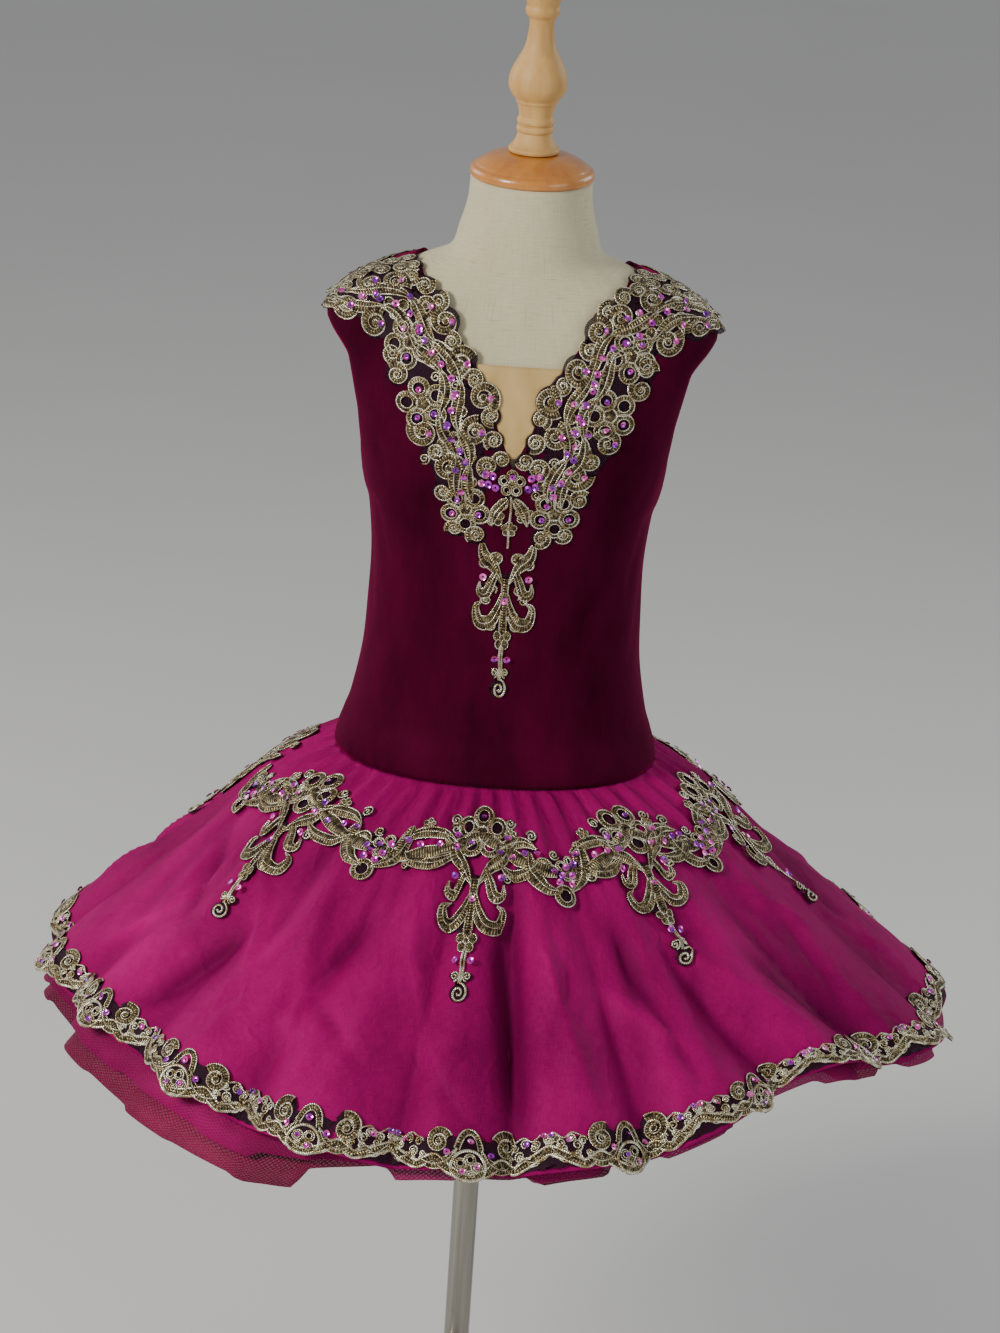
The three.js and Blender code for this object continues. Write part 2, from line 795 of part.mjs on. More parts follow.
// The hem trim over half a repeat, in steps of half a gather: its lower edge is measured down
// from the hem and its upper edge is measured up from it.
const hemEdges = [
  { hang: 8, depth: 33 },
  { hang: 2, depth: 29 },
  { hang: -7, depth: 26 },
  { hang: -1, depth: 26 },
  { hang: -7, depth: 28 },
  { hang: -13, depth: 31 },
];

// How far the neck lace's outline may be straightened.
const coarse = 2.4;
const pendantTop = 784;
const pendantLong = 114;
const headFlower = 9;
const stemHalf = 4;
const stemSunk = 7;

// Millimetres to a degree of turn at a place down the skirt.
function degreeWidth(down) {
  return bellAt(down).reach * degree;
}

// Moves a shape drawn in millimetres, across by down, onto the skirt's flat.
function ontoSkirt(shape, turn, down) {
  return shape.translate([0, down]).warp((place) => {
    place[0] = turn + place[0] / degreeWidth(place[1]);
  });
}

function bothSides(lobes, make) {
  return lobes.flatMap((lobe) => (lobe.across ? [make(lobe, 1), make(lobe, -1)] : [make(lobe, 1)]));
}

// A shape the same on both sides of its middle, from the outline of one side.
function mirrored(edge) {
  const one = edge.map((row) => [row.across, row.down]);
  const other = one.filter(([x]) => x > 0).map(([x, y]) => [-x, y]).reverse();
  return new CrossSection([[...one, ...other]], "NonZero");
}

// The drop, downwards from its top, stretched to a length and leaning.
function dropShape(long, lean) {
  const stretch = long / dropLong;
  const gaps = bothSides(dropGaps, (row, side) => disc(side * row.across, row.down, row.radius, 4));
  return mirrored(dropEdge).subtract(unite(gaps)).warp((place) => {
    place[1] *= stretch;
    place[0] += (lean * place[1]) / long;
  });
}

// A flower with pointed petals, as a star.
const petalNotch = 0.7;
function flower(petals, radius) {
  const outline = [];
  for (let k = 0; k < petals * 2; k += 1) {
    const angle = (k * Math.PI) / petals;
    const reach = k % 2 ? radius * petalNotch : radius;
    outline.push([reach * Math.sin(angle), reach * Math.cos(angle)]);
  }
  return new CrossSection([outline], "NonZero");
}

// A band of even width in the skirt's flat from one motif to the next, sagging between them.
function swag(a, b) {
  const middle = [(a.turn + b.turn) / 2, (a.down + b.down) / 2 + swagSag];
  const bands = [
    [[a.turn, a.down], middle],
    [middle, [b.turn, b.down]],
  ];
  return bands.map(([[t0, d0], [t1, d1]]) => {
    const outline = [
      [t0, d0 - swagHalf],
      [t1, d1 - swagHalf],
      [t1, d1 + swagHalf],
      [t0, d0 + swagHalf],
    ];
    return new CrossSection([outline], "NonZero");
  });
}

// The garland's shape in the skirt's flat, between two turns. A motif just past a cut is drawn
// too, because the cut goes through the band to it.
const pastCut = 30;
const dropHidden = rosetteRadius * 0.6;
const leanLong = 3;
function garlandShape(from, to) {
  const laps = [-360, 0, 360];
  const onLap = (row, lap) => ({ ...row, turn: row.turn + lap });
  const motifs = [...rosettes, ...cups].flatMap((row) => laps.map((lap) => onLap(row, lap)));
  const placed = motifs.filter((row) => row.turn > from - pastCut && row.turn < to + pastCut);
  placed.sort((a, b) => a.turn - b.turn);
  const rosette = flower(5, rosetteRadius);
  const cup = flower(4, cupRadius);
  const parts = placed.map((row) => ontoSkirt(row.reach ? rosette : cup, row.turn, row.down));
  for (const row of placed.filter((each) => each.reach)) {
    const hanging = dropShape(row.reach - dropHidden, row.lean * leanLong);
    parts.push(ontoSkirt(hanging, row.turn, row.down + dropHidden));
  }
  for (let k = 0; k + 1 < placed.length; k += 1) parts.push(...swag(placed[k], placed[k + 1]));
  return unite(parts).intersect(turnsBetween(from, to));
}

function turnsBetween(from, to) {
  const outline = [
    [from, 0],
    [to, 0],
    [to, slant],
    [from, slant],
  ];
  return new CrossSection([outline], "NonZero");
}

// The hem trim between two turns, on the overskirt's own corners and half way between them.
function hemTrim(panel, from, to) {
  const steps = gatherCount * 4;
  const repeat = steps / hemRepeats;
  const first = Math.round((from * steps) / 360);
  const last = Math.round((to * steps) / 360);
  return makePanel(1, last - first, (row, column) => {
    const step = first + column;
    const inRepeat = ((step % repeat) + repeat) % repeat;
    const edge = hemEdges[Math.min(inRepeat, repeat - inRepeat)];
    const down = row ? slant + edge.hang : slant - edge.depth;
    const turn = Math.min(Math.max((step * 360) / steps, from + cutGap), to - cutGap);
    return onPanel(panel, [turn, down]);
  });
}

// The neck lace of one side in the front view. A large lobe has more corners.
const largeLobe = 14;
function neckShape(side) {
  const corners = (row) => (row.radius > largeLobe ? 8 : 6);
  const lobes = neckLobes.map((row) => disc(side * row.across, row.height, row.radius, corners(row)));
  const band = ribbon(neckBand.map(([x, y, half]) => [side * x, y, half]));
  const gaps = neckGaps.map((row) => disc(side * row.across, row.height, row.radius, 4));
  return unite([...lobes, ...band]).simplify(coarse).subtract(unite(gaps));
}

function backShape() {
  const lobes = bothSides(backLobes, (row, side) => disc(side * row.across, row.height, row.radius, 6));
  const bands = [1, -1].flatMap((side) => ribbon(backBand.map(([x, y, half]) => [side * x, y, half])));
  return unite([...lobes, ...bands]).simplify(coarse * 1.5);
}

// The drop below the V, with a small flower at its head.
function pendantShape() {
  const upright = dropShape(pendantLong, 0).mirror([0, 1]).translate([0, pendantTop]);
  const stem = ribbon([
    [0, pendantTop - stemSunk, stemHalf],
    [0, neckApex - stemSunk, stemHalf],
  ]);
  return unite([upright, ...stem, flower(5, headFlower).translate([0, neckApex - headFlower])]);
}

const part = new THREE.Group();

function add(name, finish, geometry) {
  const mesh = new THREE.Mesh(geometry, new THREE.MeshStandardMaterial(finishes[finish]));
  mesh.name = name;
  part.add(mesh);
}

// The linen-covered form. Under the dress it is held in from the cloth, and at its foot it
// rounds in to where the pole goes.
const formHeights = [548, 564, 590, 620, 660, 715, 770, 803, 836, 862, 890, 912, 923, 931, 942];
formHeights.push(952, 961, 971, 987, 1005, 1022);
const formColumns = 32;
const formInset = 1.8;
const insetEnds = [950, 972];

function levelRing(height, share = 1, lowered = 0) {
  const ring = [];
  const inset = formInset * (1 - ramp(...insetEnds, height));
  for (let quarter = 0; quarter < 4; quarter += 1) {
    const from = (quarter * Math.PI) / 2;
    const angles = spreadAngles(height, from, from + Math.PI / 2, formColumns / 4);
    for (const angle of angles.slice(0, -1)) {
      const point = torsoPoint(angle, height).addScaledVector(torsoNormal(angle, height), -inset);
      ring.push(new THREE.Vector3(point.x * share, point.y * share, point.z - lowered));
    }
  }
  return ring;
}

const formFoot = 536;
const formLow = formHeights[0];
const formTop = formHeights[formHeights.length - 1];
const capFoot = formTop + seam;
const capHeight = 17.5;
const footRings = [levelRing(formLow, 0.55, formLow - formFoot), levelRing(formLow, 0.88, 7)];
const bodyRings = formHeights.map((height) => levelRing(height));
const underFoot = new THREE.Vector3(0, 0, formFoot);
const onTop = new THREE.Vector3(0, 0, formTop);
add("form_torso", "linen", skin([...footRings, ...bodyRings], underFoot, onTop));
add(
  "neck_cap",
  "capwood",
  turned(
    [
      [0, capFoot],
      [41.5, capFoot],
      [43, capFoot + 1.5],
      [43, capFoot + 5],
      [41, capFoot + 8],
      [32, capFoot + 13],
      [20, capFoot + 16.5],
      [10, capFoot + capHeight],
      [0, capFoot + capHeight],
    ],
    24,
  ),
);
const finialFoot = capFoot + capHeight + seam;
add(
  "finial",
  "palewood",
  turned(
    [
      [0, finialFoot],
      [17.5, finialFoot],
      [17.5, finialFoot + 3],
      [11.5, finialFoot + 13],
      [12.5, finialFoot + 16],
      [11, finialFoot + 19],
      [12.5, finialFoot + 22],
      [13, finialFoot + 33],
      [18.5, finialFoot + 41],
      [20.2, finialFoot + 46],
      [19.5, finialFoot + 55],
      [10, finialFoot + 73],
      [8.5, finialFoot + 90],
      [11.5, finialFoot + 96],
      [11.5, finialFoot + 101],
      [13.5, finialFoot + 111],
      [11, finialFoot + 120],
      [0, finialFoot + 125],
    ],
    16,
  ),
);

// The stand.
const baseHeight = 14;
const baseRadius = 150;
const poleRadius = 9.25;
const upperRadius = 7;
const collarFoot = 388;
const collarHeight = 34;
add(
  "base",
  "steel",
  turned(
    [
      [0, 0],
      [baseRadius - 2, 0],
      [baseRadius, 2],
      [baseRadius, 9],
      [60, baseHeight],
      [0, baseHeight],
    ],
    32,
  ),
);
const poleFoot = baseHeight + seam;
const poleTop = collarFoot + 16;
function rod(radius, foot, top) {
  return turned(
    [
      [0, foot],
      [radius, foot],
      [radius, top],
      [0, top],
    ],
    16,
  );
}
add("pole_lower", "steel", rod(poleRadius, poleFoot, poleTop));
add("pole_upper", "steel", rod(upperRadius, poleTop + seam, formFoot - seam));

// The clamp ring: a ring round both tubes where they meet, stepped inside like them.
const collarOuter = 15;
add(
  "pole_collar",
  "steel",
  turned(
    [
      [poleRadius + seam, collarFoot],
      [collarOuter, collarFoot],
      [collarOuter, collarFoot + collarHeight],
      [upperRadius + seam, collarFoot + collarHeight],
      [upperRadius + seam, poleTop + 2],
      [poleRadius + seam, poleTop + 2],
      [poleRadius + seam, collarFoot],
    ],
    16,
  ),
);

// The cloth.
const bodiceOuter = ease + velvetThick;
const frontPanel = bodicePanel(false);
const backPanel = bodicePanel(true);
add("bodice_front", "velvet", wall(frontPanel, ease, bodiceOuter));
add("bodice_back", "velvet", wall(backPanel, ease, bodiceOuter));
add("neck_insert", "nude", wall(insertPanel(), ease, ease + insertThick));

add("skirt_over", "gauze", wall(skirtPanel(0, skirtRows), -gauzeThick, 0));
const netLayers = [
  { name: "skirt_net_upper", seamDrop: 4, drop: 17.5, fold: 0.85, crimp: 2.5, reachLoss: 0.998 },
  { name: "skirt_net_lower", seamDrop: 5.8, drop: 29, fold: 0.75, crimp: 3, reachLoss: 0.985 },
];
for (const layer of netLayers) {
  add(layer.name, "net", wall(netPanel({ ...layer, columns: 44 }), -netThick, 0));
}

// The lace.
const laceFoot = seam;
function addLace(name, panel, shape, foot, near) {
  add(name, "lace", wall(layOn(panel, shape, near), foot, foot + laceThick));
}
const bodiceNear = [0.02, 0.02];
const skirtNear = [0.005, 0.02];
const onBodice = bodiceOuter + laceFoot;
addLace("lace_neck_left", frontPanel, neckShape(-1), onBodice, bodiceNear);
addLace("lace_neck_right", frontPanel, neckShape(1), onBodice, bodiceNear);
addLace("lace_neck_back", backPanel, backShape(), onBodice, bodiceNear);
addLace("lace_pendant", frontPanel, pendantShape(), onBodice, bodiceNear);

const laceRows = [...skirtRows, 1 + (hemHang + 2) / slant];
const hemFoot = 0.9;
const skirtHalves = [
  { where: "front", panel: skirtPanel(-184, laceRows), from: leftCut, to: rightCut },
  { where: "back", panel: skirtPanel(0, laceRows), from: rightCut, to: 360 + leftCut },
];
for (const { where, panel, from, to } of skirtHalves) {
  addLace("lace_garland_" + where, panel, garlandShape(from + cutGap, to - cutGap), laceFoot, skirtNear);
}
for (const { where, panel, from, to } of skirtHalves) {
  add("lace_hem_" + where, "lace", wall(hemTrim(panel, from, to), hemFoot, hemFoot + laceThick));
}

export default part;
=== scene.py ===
import bmesh
import bpy
import numpy as np
from mathutils import Matrix, Vector


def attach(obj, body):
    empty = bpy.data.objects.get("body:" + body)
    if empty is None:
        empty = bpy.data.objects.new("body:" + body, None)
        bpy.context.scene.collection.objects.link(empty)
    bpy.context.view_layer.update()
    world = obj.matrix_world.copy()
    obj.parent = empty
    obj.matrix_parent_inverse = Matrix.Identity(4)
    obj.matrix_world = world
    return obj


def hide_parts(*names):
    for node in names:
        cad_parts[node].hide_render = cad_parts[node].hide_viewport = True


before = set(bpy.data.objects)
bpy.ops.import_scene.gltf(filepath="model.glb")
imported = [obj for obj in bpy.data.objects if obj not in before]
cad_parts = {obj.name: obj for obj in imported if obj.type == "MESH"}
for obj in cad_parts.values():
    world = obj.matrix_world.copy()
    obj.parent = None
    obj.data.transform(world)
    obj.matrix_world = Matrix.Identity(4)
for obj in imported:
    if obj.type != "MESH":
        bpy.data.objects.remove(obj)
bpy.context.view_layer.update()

MM = 0.001
DEGREE = np.pi / 180
TINY = 1e-9

# Gaps and thicknesses of the layers, in millimetres.
SEAM = 0.3
EASE = 1.0
VELVET = 1.8
INSERT = 1.0
BODICE_FACE = EASE + VELVET
FORM_INSET = 1.8

# Driving heights of the dress and its form.
HIP_SEAM = 606
NECK_APEX = 836
UNDERARM = 803
SHOULDER_TOP = 959
INSERT_TOP = 905
FORM_FOOT = 536
TORSO_FOOT = 548
FORM_TOP = 1022

# Level cuts of the torso: height, half width, front depth, back depth, squareness of the oval.
TORSO_CUTS = np.array(
    [
        (TORSO_FOOT, 100, 76, 76, 2.2),
        (572, 110, 84, 84, 2.2),
        (HIP_SEAM, 111.5, 86, 86, 2.2),
        (624, 107, 82, 82, 2.3),
        (640, 102, 78, 79, 2.3),
        (677, 95.5, 75, 75, 2.4),
        (715, 93.5, 74, 73, 2.4),
        (752, 93, 75, 72, 2.4),
        (788, 96.5, 77, 73, 2.4),
        (UNDERARM, 101, 78, 73.5, 2.4),
        (825, 105.5, 79, 74, 2.5),
        (861, 113, 77, 73, 2.6),
        (898, 123, 69, 68, 2.6),
        (922, 134, 57, 60, 2.5),
        (945, 110, 50, 53, 2.4),
        (SHOULDER_TOP, 76, 46, 50, 2.2),
        (969, 54, 44, 47, 2.1),
        (987, 47.5, 43, 44, 2.0),
        (1005, 43, 42, 42, 2.0),
        (FORM_TOP, 42, 41.5, 41.5, 2.0),
    ],
    float,
)

# The bell of the skirt from its seam to its hem, at the side: reach from the middle, height.
BELL_LINE = np.array(
    [(113, HIP_SEAM), (152, 584), (184, 556), (217, 526), (253, 495), (291, 463), (325, 431)], float
)

# The billows of the skirt: turn of the valley at the hem in degrees, how far that valley has
# drifted at the seam, and the billow's rise at the hem.
BILLOWS = np.array(
    [
        (-71, 3, 20),
        (-51, 6, 22),
        (-32, 11, 25),
        (-9, 3, 19),
        (5, 2, 24),
        (23, -2, 26),
        (45, -13, 28),
        (65, -12, 22),
        (84, -4, 20),
        (106, 5, 26),
        (129, 8, 20),
        (148, -3, 25),
        (171, -6, 18),
        (188, 3, 24),
        (210, 9, 22),
        (231, -5, 26),
        (254, -7, 21),
        (271, -2, 17),
    ],
    float,
)
# Where the hem is drawn up: turn of the lift's middle, its spread to each side in degrees, and
# how much of the slant it takes. The lift sets in late, by a power of the share down.
HEM_LIFTS = [
    (-54, 46, 20),
    (0, 40, 9),
    (20, 20, 8),
    (48, 34, 42),
    (134, 32, 20),
    (196, 36, 15),
    (244, 30, 18),
]
LIFT_LATE = 3

# The seam's even gathers, and how high they rise.
GATHERS = 45
GATHER_RISE = 2.2
# How far the hem droops in front and is spread to +X, and the share by which the back is drawn in.
HEM_DROOP = 16
SIDE_SPREAD = 10
BACK_DRAW = 0.15
# How round a billow is and how soft its valleys are, how much of its rise it is sunk, and how
# much of it goes out and up.
BILLOW_FULLNESS = 0.85
BILLOW_SUNK = 0.6
VALLEY_SOFTNESS = 0.012
BILLOW_OUT = 0.72
BILLOW_UP = 0.5


def read_smooth(table, at):
    """Rows of a table at fractional places, on the cubic that runs smoothly through each row."""
    last = len(table) - 1
    at = np.clip(np.asarray(at, float), 0, last - TINY)
    row = np.floor(at).astype(int)
    f = (at - row)[..., None]
    a, b, c, d = (table[np.clip(row + k, 0, last)] for k in (-1, 0, 1, 2))
    leave = (c - a) / 2
    arrive = (d - b) / 2
    cube = 2 * b - 2 * c + leave + arrive
    square = 3 * c - 3 * b - 2 * leave - arrive
    return cube * f**3 + square * f**2 + leave * f + b


def ramp(start, end, value):
    """0 before start, 1 after end, and a smooth step between them."""
    f = np.clip((np.asarray(value, float) - start) / (end - start), 0, 1)
    return f * f * (3 - 2 * f)


def length_along(path):
    """How far along a path each of its points is."""
    return np.concatenate([[0], np.cumsum(np.linalg.norm(np.diff(path, axis=0), axis=1))])


def unit(vectors):
    """These directions, each with a length of one."""
    return vectors / (np.linalg.norm(vectors, axis=-1, keepdims=True) + TINY)


def flat_sides(path):
    """The direction across a flat path at each of its points."""
    along = unit(np.gradient(path, axis=0))
    return np.stack([-along[:, 1], along[:, 0]], 1)


CUT_PLACES = np.linspace(0, len(TORSO_CUTS) - 1, 1500)
CUT_HEIGHTS = read_smooth(TORSO_CUTS, CUT_PLACES)[:, 0]


def torso_cut(height):
    """Half width, front depth, back depth and squareness of the torso's cut at a height."""
    cut = read_smooth(TORSO_CUTS, np.interp(height, CUT_HEIGHTS, CUT_PLACES))
    return np.moveaxis(cut, -1, 0)[1:]


def torso_point(angle, height):
    """A superellipse round the torso: angle turns from the front towards +X."""
    angle, height = np.broadcast_arrays(np.asarray(angle, float), np.asarray(height, float))
    half, front, back, square = torso_cut(height)
    depth = np.where(np.cos(angle) > 0, front, back)
    across = np.abs(np.sin(angle) / half) ** square
    along = np.abs(np.cos(angle) / depth) ** square
    reach = (across + along) ** (-1 / square)
    return np.stack([reach * np.sin(angle), -reach * np.cos(angle), height], -1)


def angle_across(height, across, at_back=False):
    """The angle at which the torso's front, or its back, is a given distance across."""
    half, front, back, square = torso_cut(height)
    depth = back if at_back else front
    share = np.clip(1 - np.abs(across / half) ** square, 0, 1)
    angle = np.arctan2(across, depth * share ** (1 / square))
    return np.pi - angle if at_back else angle


def angle_deep(height, deep, at_back=False):
    """The angle at which the torso's side is a given distance from its middle plane."""
    half, front, back, square = torso_cut(height)
    depth = back if at_back else front
    share = np.clip(1 - np.abs(deep / depth) ** square, 0, 1)
    angle = np.arctan2(half * share ** (1 / square), deep)
    return np.pi - angle if at_back else angle


BELL_DOWN = length_along(BELL_LINE)
SLANT = BELL_DOWN[-1]
PAST_HEM = 0.7


def bell_at(down):
    """Reach and height of the bell at millimetres down its slant; straight on past the hem."""
    line = read_smooth(BELL_LINE, np.interp(down, BELL_DOWN, np.arange(len(BELL_DOWN))))
    past = np.maximum(np.asarray(down, float) - SLANT, 0)
    return line[..., 0] + PAST_HEM * past, line[..., 1] - PAST_HEM * past


def billow_at(turn, share):
    """Each billow is a half sine between its valleys, growing down the skirt."""
    turn, share = np.broadcast_arrays(np.asarray(turn, float), np.asarray(share, float))
    valley, drift, rise = BILLOWS.T
    placed = valley + drift * (1 - share[..., None])
    first = placed[..., 0]
    angle = first + np.mod(turn - first, 360)
    row = np.sum(angle[..., None] >= placed, -1) - 1
    start = np.take_along_axis(placed, row[..., None], -1)[..., 0]
    following = np.concatenate([placed[..., 1:], placed[..., :1] + 360], -1)
    end = np.take_along_axis(following, row[..., None], -1)[..., 0]
    arch = np.sin(np.pi * (angle - start) / (end - start)) ** 2 + VALLEY_SOFTNESS
    wave = arch ** (BILLOW_FULLNESS / 2)
    return rise[row] * (wave - BILLOW_SUNK) * ramp(0.06, 0.95, share)


def lift_at(turn):
    """How much of the slant the hem's lifts take at a turn in degrees."""
    lift = 0
    for middle, half, high in HEM_LIFTS:
        away = np.minimum(np.abs(np.mod(turn - middle + 180, 360) - 180), half)
        lift = lift + high * (1 + np.cos(np.pi * away / half)) / 2
    return lift


def bell_point(turn, share, drop=0.0, fold=1.0, ripple=0.0):
    """The skirt's bell: its line at that share of the slant, spread to +X and drawn in towards
    the back, pushed out and up by the billows and by ripple, which is the height of anything
    finer, and lowered by drop and the front's droop."""
    turn, share = np.broadcast_arrays(np.asarray(turn, float), np.asarray(share, float))
    angle = turn * DEGREE
    reach, height = bell_at(share * SLANT - lift_at(turn) * share**LIFT_LATE)
    seam_point = torso_point(angle, HIP_SEAM)
    seam_reach = np.hypot(seam_point[..., 0], seam_point[..., 1]) + EASE
    oval = (BELL_LINE[0, 0] - seam_reach) * (1 - np.minimum(share, 1))
    out = fold * billow_at(turn, share) + ripple
    spread = SIDE_SPREAD * np.sin(angle) * share**2
    drawn = 1 - BACK_DRAW * np.maximum(-np.cos(angle), 0) * share
    reach = (reach - oval + spread) * drawn + BILLOW_OUT * out
    droop = HEM_DROOP * np.maximum(np.cos(angle), 0) ** 2 * share**2
    height = height - droop - drop + BILLOW_UP * out
    return np.stack([reach * np.sin(angle), -reach * np.cos(angle), height], -1)


def outward_of(surface, u, v, step=0.35):
    """The direction square to a surface: the cross product of its two slopes."""
    round_slope = surface(u + step, v) - surface(u - step, v)
    along_slope = surface(u, v + step) - surface(u, v - step)
    return unit(np.cross(round_slope, along_slope))


def lifted(surface, u, v, off, step=0.35):
    """Points of a surface moved off along its own outward direction."""
    outward = outward_of(surface, u, v, step)
    return surface(u, v) + outward * np.asarray(off, float)[..., None]


# Making meshes. Points closer than this many metres are one point.
MERGE_WITHIN = 0.00001


def grid_faces(rows, columns, start=0, closed=False):
    """The four-cornered faces of a grid of points, row after row."""
    wide = columns if closed else columns - 1
    row, column = np.meshgrid(np.arange(rows - 1), np.arange(wide), indexing="ij")
    following = (column + 1) % columns
    corners = [row * columns + column, row * columns + following]
    corners += [(row + 1) * columns + following, (row + 1) * columns + column]
    return np.stack(corners, -1).reshape(-1, 4) + start


def make_piece(name, points, faces, material, uv=None):
    """A mesh object from millimetre points, four-cornered faces and a pattern place for each
    point, standing at the origin."""
    mesh = bpy.data.meshes.new(name)
    mesh.vertices.add(len(points))
    mesh.vertices.foreach_set("co", (points * MM).astype(np.float32).ravel())
    mesh.loops.add(faces.size)
    mesh.loops.foreach_set("vertex_index", faces.astype(np.int32).ravel())
    mesh.polygons.add(len(faces))
    mesh.polygons.foreach_set("loop_start", np.arange(0, faces.size, faces.shape[1], dtype=np.int32))
    mesh.polygons.foreach_set("use_smooth", np.ones(len(faces), bool))
    if uv is not None:
        layer = mesh.uv_layers.new(name="cloth")
        layer.uv.foreach_set("vector", uv[faces.ravel()].astype(np.float32).ravel())
    mesh.update(calc_edges=True)
    mesh.validate()
    mesh.materials.append(material)
    piece = bpy.data.objects.new(name, mesh)
    bpy.context.scene.collection.objects.link(piece)
    return piece


def finished(piece, solid=None):
    """Puts a piece on its body, and hides the solid that it stands for."""
    if solid:
        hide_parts(solid)
    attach(piece, "root")
    return piece


def thicken(piece, thick):
    """A wall of a thickness in millimetres, inwards from the piece's face."""
    wall = piece.modifiers.new("wall", "SOLIDIFY")
    wall.thickness = thick * MM
    wall.offset = -1
    return piece


def outwards(points, faces, towards):
    """Turns faces round where they look away from the given outward directions."""
    a, b, c = (points[faces[:, k]] for k in range(3))
    looks = np.einsum("ij,ij->i", np.cross(b - a, c - a), towards[faces[:, 0]])
    turned = faces.copy()
    turned[looks < 0] = turned[looks < 0][:, ::-1]
    return turned


def merge_meeting(piece, face_out=False):
    """Joins the points of a piece that lie in one place, and can face the whole piece out."""
    made = bmesh.new()
    made.from_mesh(piece.data)
    bmesh.ops.remove_doubles(made, verts=made.verts, dist=MERGE_WITHIN)
    if face_out:
        bmesh.ops.recalc_face_normals(made, faces=made.faces)
    made.to_mesh(piece.data)
    made.free()


def weld(points, faces, uv, near=0.01):
    """Joins points that lie in one place and drops faces that have collapsed."""
    keys = np.round(points / near).astype(np.int64)
    _, kept, back = np.unique(keys, axis=0, return_index=True, return_inverse=True)
    faces = back.ravel()[faces]
    ordered = np.sort(faces, 1)
    doubled = np.sum(ordered[:, 1:] == ordered[:, :-1], 1)
    return points[kept], faces[doubled == 0], uv[kept]


class Signal:
    """A shader socket. Arithmetic on it adds Math nodes to its material."""

    def __init__(self, dye, socket):
        self.dye = dye
        self.socket = socket

    def math(self, operation, other=0.0, swapped=False):
        pair = (other, self) if swapped else (self, other)
        return self.dye.node("Math", {"operation": operation}, {0: pair[0], 1: pair[1]})

    def __add__(self, other):
        return self.math("ADD", other)

    def __mul__(self, other):
        return self.math("MULTIPLY", other)

    def __sub__(self, other):
        return self.math("SUBTRACT", other)

    def __rsub__(self, other):
        return self.math("SUBTRACT", other, swapped=True)

    __radd__ = __add__
    __rmul__ = __mul__

    def sine(self):
        return self.math("SINE")

    def size(self):
        return self.math("ABSOLUTE")

    def between(self, low, high):
        """0 below low, 1 above high, straight between them."""
        spread = {"From Min": low, "From Max": high}
        return self.dye.node("MapRange", {"clamp": True}, {"Value": self, **spread})


class Dye:
    """A material in the making: one Principled shader and the nodes that feed it."""

    def __init__(self, name):
        self.material = bpy.data.materials.new(name)
        self.material.use_nodes = True
        self.tree = self.material.node_tree
        self.shader = self.tree.nodes["Principled BSDF"]

    def node(self, kind, settings=None, inputs=None, out=0):
        """A new node with its settings and inputs, as a signal from one of its outputs."""
        made = self.tree.nodes.new("ShaderNode" + kind)
        for key, value in (settings or {}).items():
            if key == "stops":
                self.fill_ramp(made.color_ramp, value)
            else:
                setattr(made, key, value)
        for key, value in (inputs or {}).items():
            self.feed(made.inputs[key], value)
        return Signal(self, made.outputs[out])

    def fill_ramp(self, color_ramp, stops):
        while len(color_ramp.elements) < len(stops):
            color_ramp.elements.new(1.0)
        for element, (place, colour) in zip(color_ramp.elements, stops):
            element.position = place
            element.color = (*colour, 1)

    def feed(self, socket, value):
        """Links a socket to a signal, or sets it to a value or a colour."""
        if isinstance(value, Signal):
            self.tree.links.new(value.socket, socket)
        elif isinstance(value, tuple) and len(value) == 3 and socket.type == "RGBA":
            socket.default_value = (*value, 1)
        else:
            socket.default_value = value

    def mix(self, factor, first, second):
        """Two colours blended by a factor from 0 to 1."""
        return self.node(
            "Mix", {"data_type": "RGBA"}, {"Factor": factor, 6: first, 7: second}, out=2
        )

    def cloth(self, across=1.0, along=1.0):
        """The piece's own pattern place in millimetres, stretched each way."""
        place = self.node("UVMap", {"uv_map": "cloth"})
        size = (across, along, 1.0)
        return self.node("VectorMath", {"operation": "MULTIPLY"}, {0: place, 1: size})

    def object_place(self, x=1.0, y=1.0, z=1.0):
        """The place in the object in metres, stretched each way."""
        place = self.node("TexCoord", out=3)
        return self.node("VectorMath", {"operation": "MULTIPLY"}, {0: place, 1: (x, y, z)})

    def noise(self, place, detail, rough=0.5):
        """Soft noise with one spot to each unit of the place that it is read at."""
        inputs = {"Vector": place, "Scale": 1.0, "Detail": detail, "Roughness": rough}
        return self.node("TexNoise", {"noise_dimensions": "3D"}, inputs)

    def axis(self, place, name):
        return self.node("SeparateXYZ", {}, {0: place}, out="XYZ".index(name))

    def net_yarns(self, pitch, gap, yarn):
        """Two sets of slanting yarns a pitch apart: 1 on a yarn and 0 in the gaps."""
        place = self.cloth()
        across = self.axis(place, "X")
        along = self.axis(place, "Y")
        one = ((across + along) * (np.pi / pitch)).sine().size()
        two = ((across - along) * (np.pi / pitch)).sine().size()
        return one.math("MINIMUM", two).between(gap, yarn)

    def bump(self, height, strength, distance):
        inputs = {"Strength": strength, "Distance": distance * MM, "Height": height}
        return self.node("Bump", {}, inputs)

    def finish(self, **inputs):
        """Feeds the shader. SOCKETS says which word stands for which of its sockets."""
        for key, value in inputs.items():
            self.feed(self.shader.inputs[SOCKETS[key]], value)
        return self.material


SOCKETS = {
    "base": "Base Color",
    "rough": "Roughness",
    "metal": "Metallic",
    "alpha": "Alpha",
    "normal": "Normal",
    "coat": "Coat Weight",
    "coat_rough": "Coat Roughness",
    "sheen": "Sheen Weight",
    "sheen_rough": "Sheen Roughness",
    "sheen_tint": "Sheen Tint",
    "specular": "Specular IOR Level",
}


